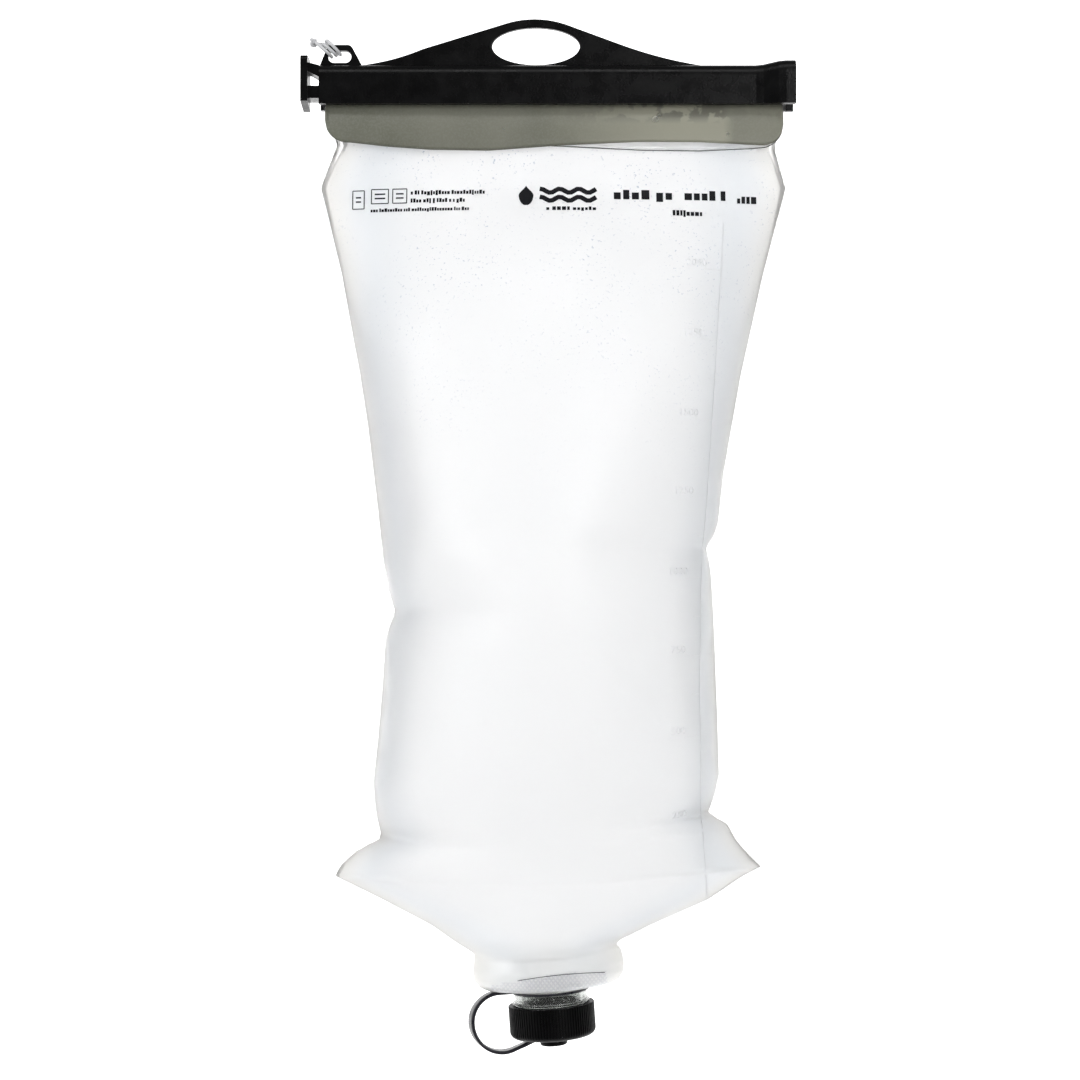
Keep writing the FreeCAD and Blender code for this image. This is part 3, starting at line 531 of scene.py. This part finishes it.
def film_bag(material, seal):
    """Bag of film, before it settles."""
    rings = bag_rings()
    count = 2 * PANEL
    film_rows = UPPER_ROWS + LOWER_ROWS
    verts = []
    from_seam = []
    for row, ring in enumerate(rings):
        left, right = ring[0], ring[PANEL]
        for point in ring:
            point = point.copy()
            distance = min((point - left).length, (point - right).length)
            if row < film_rows:
                point.y *= crimp(point, distance)
            verts.append(point)
            from_seam.append(distance)
    faces = [face[::-1] for face in grid_faces(len(rings), count, closed=True)]
    bag = mesh_piece("film_bag", verts, faces, material)
    bag.data.materials.append(seal)
    seam = bag.data.attributes.new("from_seam", "FLOAT", "POINT")
    seam.data.foreach_set("value", from_seam)
    return bag


def simulate_bag(bag):
    """Let the film settle under pressure with its seams, mouth and spout held."""
    count = 2 * PANEL
    rows = len(bag.data.vertices) // count
    group = bag.vertex_groups.new(name="held")
    film_rows = UPPER_ROWS + LOWER_ROWS
    for row in range(rows):
        for column in range(count):
            at_seam = column in (0, PANEL)
            if row < 5 or row >= film_rows - 1 or at_seam:
                group.add([row * count + column], 1.0, "REPLACE")
    start = np.empty(len(bag.data.vertices) * 3)
    bag.data.vertices.foreach_get("co", start)
    start = start.reshape(-1, 3).copy()
    cloth = bag.modifiers.new("cloth", "CLOTH")
    settings = cloth.settings
    settings.quality = 8
    settings.mass = 0.25
    settings.tension_stiffness = 60
    settings.compression_stiffness = 60
    settings.shear_stiffness = 30
    settings.bending_stiffness = 6
    settings.air_damping = 4
    settings.shrink_min = -0.012
    settings.use_pressure = True
    settings.uniform_pressure_force = 2.0
    settings.vertex_group_mass = "held"
    settings.effector_weights.gravity = 0
    cloth.collision_settings.use_collision = False
    scene = bpy.context.scene
    cloth.point_cache.frame_end = SETTLE_FRAMES
    for number in range(1, SETTLE_FRAMES + 1):
        scene.frame_set(number)
    depsgraph = bpy.context.evaluated_depsgraph_get()
    moved = np.empty(len(start) * 3)
    bag.evaluated_get(depsgraph).data.vertices.foreach_get("co", moved)
    shift = (moved.reshape(-1, 3) - start).reshape(rows, count, 3)
    for _ in range(SETTLE_PASSES):
        shift[1:-1] = (shift[:-2] + 2 * shift[1:-1] + shift[2:]) / 4
        shift = (np.roll(shift, 1, axis=1) + 2 * shift + np.roll(shift, -1, axis=1)) / 4
    shift[:, [0, PANEL]] = 0
    shift = shift.reshape(-1, 3)
    size = np.linalg.norm(shift, axis=1, keepdims=True)
    shift *= np.minimum(1.0, SETTLE_LIMIT / np.maximum(size, 1e-9))
    shift *= np.interp(start[:, 2], [-0.31, -0.25, -0.08, -0.05], [0.1, 1, 1, 0])[:, None]
    bag.modifiers.remove(cloth)
    scene.frame_set(1)
    bag.data.vertices.foreach_set("co", (start + shift).ravel())
    bag.data.update()


def seal_level(x):
    """Level of the seal's upper edge over the boat, which runs slightly askew."""
    return 6.4 * MM + 0.05 * x - 3.0 * MM * (x / (24 * MM)) ** 2


def mark_seal(bag):
    """The seal's crosshatch lies on a lens-shaped band along the boat's lower edge."""
    first = (UPPER_ROWS + LOWER_ROWS) * 2 * PANEL
    back = Matrix.Rotation(SPOUT_LEAN, 3, "Y")
    for polygon in bag.data.polygons:
        if min(polygon.vertices) < first:
            continue
        local = back @ (polygon.center - SPOUT_ORIGIN)
        if 0.9 * MM < local.z < seal_level(local.x) and abs(local.x) < 21 * MM:
            polygon.material_index = 1


def weld_margin(name, bag, column, material):
    """Flat clear strip outside one side seam, wider at the shoulder where the film lies flat."""
    count = 2 * PANEL
    last = UPPER_ROWS + LOWER_ROWS - 2
    line = [bag.data.vertices[row * count + column].co.copy() for row in range(last)]
    side = -1 if column == 0 else 1
    outline = []
    for number, point in enumerate(line):
        before = line[max(number - 2, 0)]
        after = line[min(number + 2, len(line) - 1)]
        run = (after - before).normalized()
        outward = Vector((run.z, 0, -run.x)) * (1 if side < 0 else -1)
        if outward.x * side < -0.5:
            outward = -outward
        wide = MARGIN
        if point.z > SHOULDER_LEVEL:
            edge = MOUTH_LEFT - LIP_OVERHANG if side < 0 else MOUTH_RIGHT + LIP_OVERHANG
            wide = max(MARGIN * 0.6, abs(edge - point.x))
            outward = Vector((side, 0, 0))
        outline.append(point + outward * wide)
    half = 0.25 * MM
    verts = []
    for number, (inner, outer) in enumerate(zip(line, outline)):
        wave = 0.25 * MM * noise.noise(Vector((number * 0.21, side, 0)))
        inner = inner.lerp(outer, -0.15)
        verts += [inner + Vector((0, -half, 0)), outer + Vector((0, -half + wave, 0)),
                  outer + Vector((0, half + wave, 0)), inner + Vector((0, half, 0))]
    faces = grid_faces(len(line), 4, closed=True)
    end = len(verts) - 4
    faces += [(3, 2, 1, 0), (end, end + 1, end + 2, end + 3)]
    return face_outwards(mesh_piece(name, verts, faces, material, smooth=False))


# ------------------------------------------------------------------ marks on the film

class FilmFace:
    """Lays flat marks, given as (x, z), onto the front of the bag."""

    def __init__(self, bag):
        self.tree = bmesh.new()
        self.tree.from_mesh(bag.data)
        self.lookup = BVHTree.FromBMesh(self.tree)

    def lift(self, x, z, height):
        point, normal, _, _ = self.lookup.ray_cast(Vector((x, -0.2, z)), Vector((0, 1, 0)))
        return point + normal * height

    def slab(self, rows, height):
        """Thin slab over a grid of (x, z) points: its vertices and faces."""
        count = len(rows[0])
        top = [self.lift(x, z, height) for row in rows for x, z in row]
        under = [self.lift(x, z, -0.05 * MM) for row in rows for x, z in row]
        size = len(top)
        faces = grid_faces(len(rows), count)
        faces += [tuple(index + size for index in face[::-1]) for face in faces]
        rim = list(range(count)) + [r * count + count - 1 for r in range(1, len(rows))]
        rim += [size - 2 - c for c in range(count - 1)] + [r * count for r in range(len(rows) - 2, 0, -1)]
        for a, b in zip(rim, rim[1:] + rim[:1]):
            faces.append((b, a, a + size, b + size))
        return top + under, faces


def gather(name, slabs, material):
    """Join slabs into one piece."""
    verts, faces = [], []
    for part_verts, part_faces in slabs:
        shift = len(verts)
        verts += part_verts
        faces += [tuple(index + shift for index in face) for face in part_faces]
    return face_outwards(mesh_piece(name, verts, faces, material, smooth=False))


def block(film, left, right, low, high, height=INK_HEIGHT):
    """Rectangular mark, in millimetres."""
    columns = max(2, int((right - left) / 1.5) + 1)
    rows = [[(x * MM, z * MM) for x in np.linspace(left, right, columns)] for z in (low, high)]
    return film.slab(rows, height * MM)


def ribbon(film, points, half_width, height):
    """Mark of even width along a line of (x, z) points, in millimetres."""
    line = along(points, max(2, int(sum(math.dist(a, b) for a, b in zip(points, points[1:])) / 1.2)))
    runs = np.gradient(line, axis=0)
    side = np.column_stack([-runs[:, 1], runs[:, 0]]) / np.hypot(*runs.T)[:, None] * half_width
    rows = [[tuple(p * MM) for p in line - side], [tuple(p * MM) for p in line + side]]
    return film.slab(rows, height * MM)


def droplet(film, x, z, radius):
    """Filled drop, as slices stacked from its foot to its tip."""
    rows = []
    for t in np.linspace(0.02, 0.98, 15):
        half = radius * math.sqrt(max(0.0, 1 - (2 * t / 1.1 - 1) ** 2)) if t < 0.55 else \
            radius * (1 - smooth_step((t - 0.5) / 0.5)) ** 0.8
        rows.append([((x + s * max(float(half), 0.05)) * MM, (z + t * radius * 2.9) * MM)
                     for s in (-1, 0, 1)])
    return film.slab(rows, INK_HEIGHT * MM)


def word_row(film, left, right, level, tall, letter, chance):
    """Row of small blocks, grouped like words, that carries no lettering."""
    slabs = []
    x = left
    while x < right - letter:
        wide = letter * chance.uniform(0.6, 1.1)
        low = level - (0.25 * tall if chance.random() < 0.12 else 0)
        high = level + tall * (1.0 if chance.random() < 0.35 else 0.72)
        slabs.append(block(film, x, min(x + wide, right), low, high))
        x += wide + letter * (0.75 if chance.random() < 0.18 else 0.28)
    return slabs


def frame_mark(film, left, right, low, high):
    """Outlined box with two short bars inside."""
    loop = [(left, low), (right, low), (right, high), (left, high), (left, low)]
    slabs = [ribbon(film, [a, b], 0.16, INK_HEIGHT) for a, b in zip(loop, loop[1:])]
    middle = (low + high) / 2
    for level in (middle - 1.0, middle + 0.6):
        slabs.append(block(film, left + 1.2, right - 1.2, level, level + 0.5))
    return slabs


def printed_marks(film, material):
    """Print band under the mouth: pictograms, a drop over waves, and rows of plain blocks."""
    chance = random.Random(SEED)
    slabs = frame_mark(film, -67.5, -63.2, -60.6, -53.8)
    slabs += frame_mark(film, -60.5, -54.2, -58.8, -53.4)
    slabs += frame_mark(film, -52.6, -47.4, -58.8, -53.4)
    slabs += word_row(film, -45.9, -18.5, -55.6, 1.5, 0.95, chance)
    slabs += word_row(film, -45.9, -25.5, -58.7, 1.5, 0.95, chance)
    slabs += word_row(film, -60.7, -24.0, -62.0, 1.3, 0.85, chance)
    slabs.append(droplet(film, -3.6, -60.4, 2.7))
    for level in (-54.6, -57.8):
        wave = [(x, level + 0.8 * math.sin(x * 0.9)) for x in np.linspace(1.4, 22.0, 40)]
        slabs.append(ribbon(film, wave, 0.85, INK_HEIGHT))
    slabs += word_row(film, 3.8, 22.6, -62.2, 1.3, 1.5, chance)
    slabs += word_row(film, 28.5, 52.5, -57.8, 3.6, 3.4, chance)
    slabs += word_row(film, 54.5, 71.5, -57.8, 3.6, 2.7, chance)
    slabs += word_row(film, 74.0, 81.5, -58.6, 2.6, 1.8, chance)
    slabs += word_row(film, 50.0, 62.5, -63.8, 2.0, 1.3, chance)
    return gather("print_marks", slabs, material)


RULER = [(68.8, -66.0), (65.6, -112.0), (62.2, -167.6), (59.8, -201.0), (59.4, -240.0),
         (59.6, -271.0), (62.9, -314.0)]
RULER_NUMBERS = [("2000", -84), ("1750", -110), ("1500", -139), ("1250", -167), ("1000", -196),
                 ("750", -224), ("500", -253), ("250", -284)]


def numeral(film, words, x, z, tall):
    """Raised figures at (x, z) millimetres."""
    curve = bpy.data.curves.new("numeral", "FONT")
    curve.body = words
    curve.size = tall
    curve.extrude = 0.5
    curve.resolution_u = 3
    text = bpy.data.objects.new("numeral", curve)
    mesh = text.to_mesh()
    verts = [film.lift((x + v.co.x) * MM, (z + v.co.y) * MM, (0.22 if v.co.z > 0 else -0.05) * MM)
             for v in mesh.vertices]
    faces = [tuple(p.vertices) for p in mesh.polygons]
    text.to_mesh_clear()
    bpy.data.objects.remove(text)
    bpy.data.curves.remove(curve)
    return verts, faces


def embossed_ruler(film, material):
    """Raised volume scale down the right-hand side of the film: a line, ticks and numbers."""
    slabs = [ribbon(film, RULER, 0.22, 0.15)]
    table = np.array(RULER)[::-1]
    for words, level in RULER_NUMBERS:
        x = float(np.interp(level, table[:, 1], table[:, 0]))
        slabs.append(ribbon(film, [(x - 6.5, level), (x - 0.4, level)], 0.22, 0.12))
        slabs.append(ribbon(film, [(x - 3.4, level - 14), (x - 0.4, level - 14)], 0.2, 0.1))
        slabs.append(numeral(film, words, x - 7.4 - 2.2 * len(words) * 0.62, level + 1.2, 3.8))
    return gather("embossed_ruler", slabs, material)


def seal_edge(film, material):
    """Thin dark line along the upper edge of the boat's seal."""
    line = []
    for x in np.linspace(-11.5, 20.5, 28):
        place = spout_point(x * MM, 0, seal_level(x * MM))
        line.append((place.x / MM, place.z / MM))
    return gather("seal_edge", [ribbon(film, line, 0.1, 0.12)], material)


# ------------------------------------------------------------------ folded mouth

def lip_columns():
    """Positions across the mouth, closer together at the rounded ends."""
    turn = np.linspace(0, math.pi, 121)
    eased = (1 - np.cos(turn)) / 2
    even = np.linspace(0, 1, 121)
    return MOUTH_LEFT + (MOUTH_RIGHT - MOUTH_LEFT) * (0.55 * eased + 0.45 * even)


def mouth_lip(name, layer, edge_points, material):
    """One film of the mouth: up behind the rail, over it and down in front of the bag."""
    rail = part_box("fold_rail")
    level = (rail[0][2] + rail[1][2]) / 2
    wrap = (rail[1][2] - rail[0][2]) / 2 + (0.3 + 0.65 * layer) * MM
    back = (0.4 + 0.55 * layer) * MM
    front = -(0.85 + 0.6 * layer) * MM
    forward = -(4.3 + 0.9 * layer) * MM
    corner = 8 * MM
    edge_x, edge_z = np.array(edge_points).T * MM
    verts = []
    columns = lip_columns()
    for x in columns:
        bottom = float(np.interp(x, edge_x, edge_z))
        inset = min(x - MOUTH_LEFT, MOUTH_RIGHT - x)
        if inset < corner:
            bottom += corner - math.sqrt(max(corner ** 2 - (corner - inset) ** 2, 0))
        path = [(back, SLOT_LEVEL - 0.4 * MM)]
        for turn in np.linspace(-50, 230, 17):
            angle = math.radians(turn)
            path.append((wrap * math.cos(angle), level + wrap * math.sin(angle)))
        path.append((front, SLOT_LEVEL - 0.4 * MM))
        for share in np.linspace(0, 1, 15)[1:]:
            wave = 0.35 * MM * noise.noise(Vector((x * 28, share * 1.5, layer * 5)))
            sag = math.sin(share * math.pi / 2)
            path.append((front + (forward - front) * sag + wave * share,
                         path[18][1] + (bottom - path[18][1]) * share))
        verts += [(x, y, z) for y, z in path]
    lip = mesh_piece(name, verts, grid_faces(len(columns), len(path)), material)
    count = len(path)
    left = [Vector(verts[row]) for row in range(count - 14, count)]
    bottom = [Vector(verts[column * count + count - 1]) for column in range(len(columns))]
    right = [Vector(verts[(len(columns) - 1) * count + row]) for row in range(count - 1, count - 15, -1)]
    thicken(lip, FILM * 0.9, 0.0)
    return lip, left + bottom[1:-1] + right


def tube(name, line, radius, material, sides=8):
    """Thin round bead along a line of points."""
    verts = []
    for number, point in enumerate(line):
        run = (line[min(number + 1, len(line) - 1)] - line[max(number - 1, 0)]).normalized()
        side = run.cross(Vector((0, 1, 0.01))).normalized()
        other = run.cross(side)
        for turn in np.linspace(0, 2 * math.pi, sides, endpoint=False):
            verts.append(point + (side * math.cos(turn) + other * math.sin(turn)) * radius)
    faces = grid_faces(len(line), sides, closed=True)
    last = len(verts) - sides
    faces += [tuple(range(sides)), tuple(range(last, len(verts)))]
    return face_outwards(mesh_piece(name, verts, faces, material))


def clinging_drops(lip, material):
    """Small drops of water on the grey lip."""
    face = FilmFace(lip)
    slabs = []
    for x, z, radius in ((44.0, -27.4, 1.25), (45.6, -25.9, 0.6), (-12.0, -31.0, 0.4), (70.5, -33.0, 0.5)):
        dome = bmesh.new()
        bmesh.ops.create_uvsphere(dome, u_segments=20, v_segments=12, radius=radius * MM)
        place = face.lift(x * MM, z * MM, 0.0)
        verts = [Vector((v.co.x, v.co.y * 0.45, v.co.z)) + place for v in dome.verts]
        faces = [tuple(v.index for v in f.verts) for f in dome.faces]
        dome.free()
        slabs.append((verts, faces))
    drops = gather("lip_drops", slabs, material)
    drops.data.polygons.foreach_set("use_smooth", [True] * len(drops.data.polygons))
    return drops


# ------------------------------------------------------------------ spout end

def strap_line():
    """Middle line of the tether strap in the spout's frame, from neck ring to cap stud."""
    radius = 11.0 * MM
    middle = Vector((-18.9, 0, -11.75)) * MM
    points = [Vector((-13.6, 0, -0.75)) * MM, Vector((-16.0, 0, -0.75)) * MM]
    for turn in np.linspace(90, 294, 46):
        angle = math.radians(turn)
        points.append(middle + Vector((math.cos(angle), 0, math.sin(angle))) * radius)
    points.append(Vector((-10.8, 0, -20.5)) * MM)
    points.append(Vector((-6.4, 0, -18.75)) * MM)
    return points


def tether_strap(material):
    """Flat strap with rounded edges, swept along its loop."""
    line = strap_line()
    section = []
    wide, thick = 2.7 * MM, 0.72 * MM
    for turn in np.linspace(0, 2 * math.pi, 20, endpoint=False):
        c, s = math.cos(turn), math.sin(turn)
        section.append((wide * math.copysign(abs(c) ** 0.3, c), thick * math.copysign(abs(s) ** 0.4, s)))
    verts = []
    for number, point in enumerate(line):
        before = line[max(number - 1, 0)]
        after = line[min(number + 1, len(line) - 1)]
        run = (after - before).normalized()
        side = Vector((run.z, 0, -run.x))
        twist = 0.28 * math.sin(math.pi * number / (len(line) - 1))
        for a, b in section:
            local = point + Vector((-twist * a, a, 0)) + side * b
            verts.append(spout_point(*local))
    faces = grid_faces(len(line), len(section), closed=True)
    last = len(verts) - len(section)
    faces += [tuple(range(len(section)))[::-1], tuple(range(last, len(verts)))]
    return face_outwards(mesh_piece("tether_band", verts, faces, material))


# ------------------------------------------------------------------ leash

LEASH_ROUTE = [(-81.3, -1.8, 1.4), (-79.4, -2.8, -0.4), (-75.6, -2.6, -3.7), (-75.4, 2.6, -3.7),
               (-79.3, 2.6, 0.6), (-78.7, -2.6, 1.1), (-74.0, -2.6, -3.2), (-73.8, 2.6, -3.2),
               (-77.9, 2.6, 1.9), (-77.2, -2.6, 2.4), (-72.4, -2.6, -2.7), (-72.2, 2.7, -2.9),
               (-76.3, 4.3, 0.2), (-79.2, 3.8, 1.6), (-81.3, 1.8, 1.6)]
LEASH_RADIUS = 0.6 * MM


def nurbs_line(name, points, radius, material):
    """Round cord along one spline."""
    curve = bpy.data.curves.new(name, "CURVE")
    curve.dimensions = "3D"
    spline = curve.splines.new("NURBS")
    spline.points.add(len(points) - 1)
    for target, point in zip(spline.points, points):
        target.co = (*[value * MM for value in point], 1)
    spline.order_u = 3
    spline.use_endpoint_u = True
    curve.bevel_depth = radius
    curve.bevel_resolution = 4
    curve.use_fill_caps = True
    curve.resolution_u = 10
    curve.materials.append(material)
    piece = bpy.data.objects.new(name, curve)
    bpy.context.scene.collection.objects.link(piece)
    return piece


def knot(material):
    """Small overhand knot: a trefoil of the same cord, pulled up tight."""
    low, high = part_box("leash_knot")
    middle = (Vector(low) + Vector(high)) / 2
    points = []
    steps = 60
    for turn in np.linspace(0, 2 * math.pi, steps, endpoint=False):
        x = math.sin(turn) + 2 * math.sin(2 * turn)
        y = math.cos(turn) - 2 * math.cos(2 * turn)
        z = -math.sin(3 * turn)
        points.append(middle + Vector((z * 0.75, x * 0.55, y * 0.42)) * MM)
    verts = []
    ring = 10
    for number, point in enumerate(points):
        run = (points[(number + 1) % steps] - points[number - 1]).normalized()
        side = run.cross(Vector((0.3, 0.2, 1))).normalized()
        other = run.cross(side)
        for turn in range(ring):
            angle = 2 * math.pi * turn / ring
            verts.append(point + (side * math.cos(angle) + other * math.sin(angle)) * LEASH_RADIUS)
    faces = []
    for number in range(steps):
        for turn in range(ring):
            a, b = number * ring + turn, number * ring + (turn + 1) % ring
            following = ((number + 1) % steps) * ring
            c, d = following + (turn + 1) % ring, following + turn
            faces.append((a, b, c, d))
    return face_outwards(mesh_piece("leash_knot_cord", verts, faces, material))


# ------------------------------------------------------------------ studio

def studio():
    """White sweep, glowing softly as a back light, under a dim room."""
    floor_level = -0.5
    m = Nodes("studio_white", Roughness=0.8, Emission_Strength=1.07)
    m.colour(m.blend(m.noise(3, 2), (0.9, 0.9, 0.9), (0.93, 0.93, 0.93)))
    m.shader.inputs["Emission Color"].default_value = (1, 1, 1, 1)
    profile = [(-0.1, floor_level), (0.9, floor_level)]
    for turn in np.linspace(0, 90, 13):
        angle = math.radians(turn)
        profile.append((0.9 + 0.6 * math.sin(angle), floor_level + 0.6 * (1 - math.cos(angle))))
    profile.append((1.5, 1.6))
    verts = [(x, y, z) for y, z in profile for x in (-1.7, 1.7)]
    sweep = mesh_piece("studio_sweep", verts, grid_faces(len(profile), 2), m.material)
    world = bpy.data.worlds.new("studio_world")
    world.use_nodes = True
    world.node_tree.nodes["Background"].inputs["Color"].default_value = (1, 1, 1, 1)
    world.node_tree.nodes["Background"].inputs["Strength"].default_value = 0.16
    bpy.context.scene.world = world


def softbox(name, place, aim, width, height, power):
    """Rectangular lamp aimed at a point."""
    light = bpy.data.lights.new(name, "AREA")
    light.shape = "RECTANGLE"
    light.size = width
    light.size_y = height
    light.energy = power
    lamp = bpy.data.objects.new(name, light)
    lamp.location = place
    lamp.rotation_euler = (Vector(aim) - Vector(place)).to_track_quat("-Z", "Y").to_euler()
    bpy.context.scene.collection.objects.link(lamp)


def lights():
    """Two soft lamps in front and one above."""
    softbox("left", (-1.2, -0.7, 0.1), (0, 0, -0.18), 0.5, 1.0, 9.5)
    softbox("right", (0.6, -1.25, 0.15), (0, 0, -0.12), 0.5, 0.7, 9.5)
    softbox("above", (0.1, -0.7, 1.0), (0, 0, -0.1), 0.9, 0.4, 4)
    bpy.context.scene.view_settings.view_transform = "Standard"


def camera():
    """Camera straight in front of the bag's middle."""
    data = bpy.data.cameras.new("camera")
    data.lens = 88.3
    data.sensor_width = 36
    cam = bpy.data.objects.new("camera", data)
    cam.location = (0.0015, -0.98, -0.1824)
    cam.rotation_euler = (math.radians(90), 0, 0)
    bpy.context.scene.collection.objects.link(cam)
    bpy.context.scene.camera = cam


# ------------------------------------------------------------------ build

def paint(node, material):
    """Give a carried-over CAD node its material."""
    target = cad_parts[node]
    target.data.materials.clear()
    target.data.materials.append(material)


def build():
    """Make every piece, and say which body it rides on and what it replaces."""
    bar = black_plastic("black_bar", 1300, 0.27, 0.15)
    cap_black = black_plastic("black_cap", 2200, 0.42, 0.1)
    strap = strap_rubber()
    frosted = frosted_film()
    clear = clear_film()
    paint("closure_bar", bar)
    paint("cap", cap_black)
    paint("tether_neck_ring", strap)
    paint("tether_button_ring", strap)
    paint("spout", clear_plastic())
    paint("fold_rail", white_plastic())
    paint("cap_liner", liner_foam())

    bag = film_bag(frosted, sealed_film())
    simulate_bag(bag)
    mark_seal(bag)
    left = weld_margin("weld_margin_left", bag, 0, clear)
    right = weld_margin("weld_margin_right", bag, PANEL, clear)
    thicken(bag, FILM, -1.0)
    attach(bag, "bag")
    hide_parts("front_film", "back_film", "front_spout_weld", "back_spout_weld")
    face = FilmFace(bag)
    ink = print_ink()
    for mark in (printed_marks(face, ink), seal_edge(face, ink), embossed_ruler(face, raised_film())):
        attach(mark, "bag")
    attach(left, "bag")
    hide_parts("left_side_weld", "left_bottom_weld")
    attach(right, "bag")
    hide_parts("right_side_weld", "right_bottom_weld")

    outer_edge = [(-78, -36.2), (-70, -35.9), (-55, -37.6), (-39, -38.8), (-17, -39.1), (9, -37.2),
                  (38, -35.9), (60, -36.0), (78, -36.9), (91, -37.6)]
    inner_edge = [(-78, -35.6), (-45, -36.4), (-17, -36.3), (9, -37.3), (38, -38.8), (60, -39.1),
                  (78, -38.3), (91, -37.4)]
    outer, _ = mouth_lip("grey_mouth_lip", 1, outer_edge, grey_film())
    inner, rim = mouth_lip("clear_mouth_lip", 0, inner_edge, clear)
    # Dark bead along the inner lip's lower edge: painted shade of the film's rim.
    bead = tube("lip_rim", rim, 0.19 * MM, painted_rim_shade())
    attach(bead, "bag")
    drops = clinging_drops(outer, clear)
    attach(drops, "bag")
    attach(outer, "bag")
    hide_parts("outer_mouth_lip")
    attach(inner, "bag")
    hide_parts("inner_mouth_lip")

    band = tether_strap(strap)
    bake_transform(band)
    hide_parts("tether_strap")

    fibre = cord_fibre()
    leash = nurbs_line("leash_loop", LEASH_ROUTE, LEASH_RADIUS, fibre)
    tied = knot(fibre)
    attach(leash, "closure")
    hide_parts("leash_cord")
    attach(tied, "closure")
    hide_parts("leash_knot")


studio()
lights()
camera()
build()
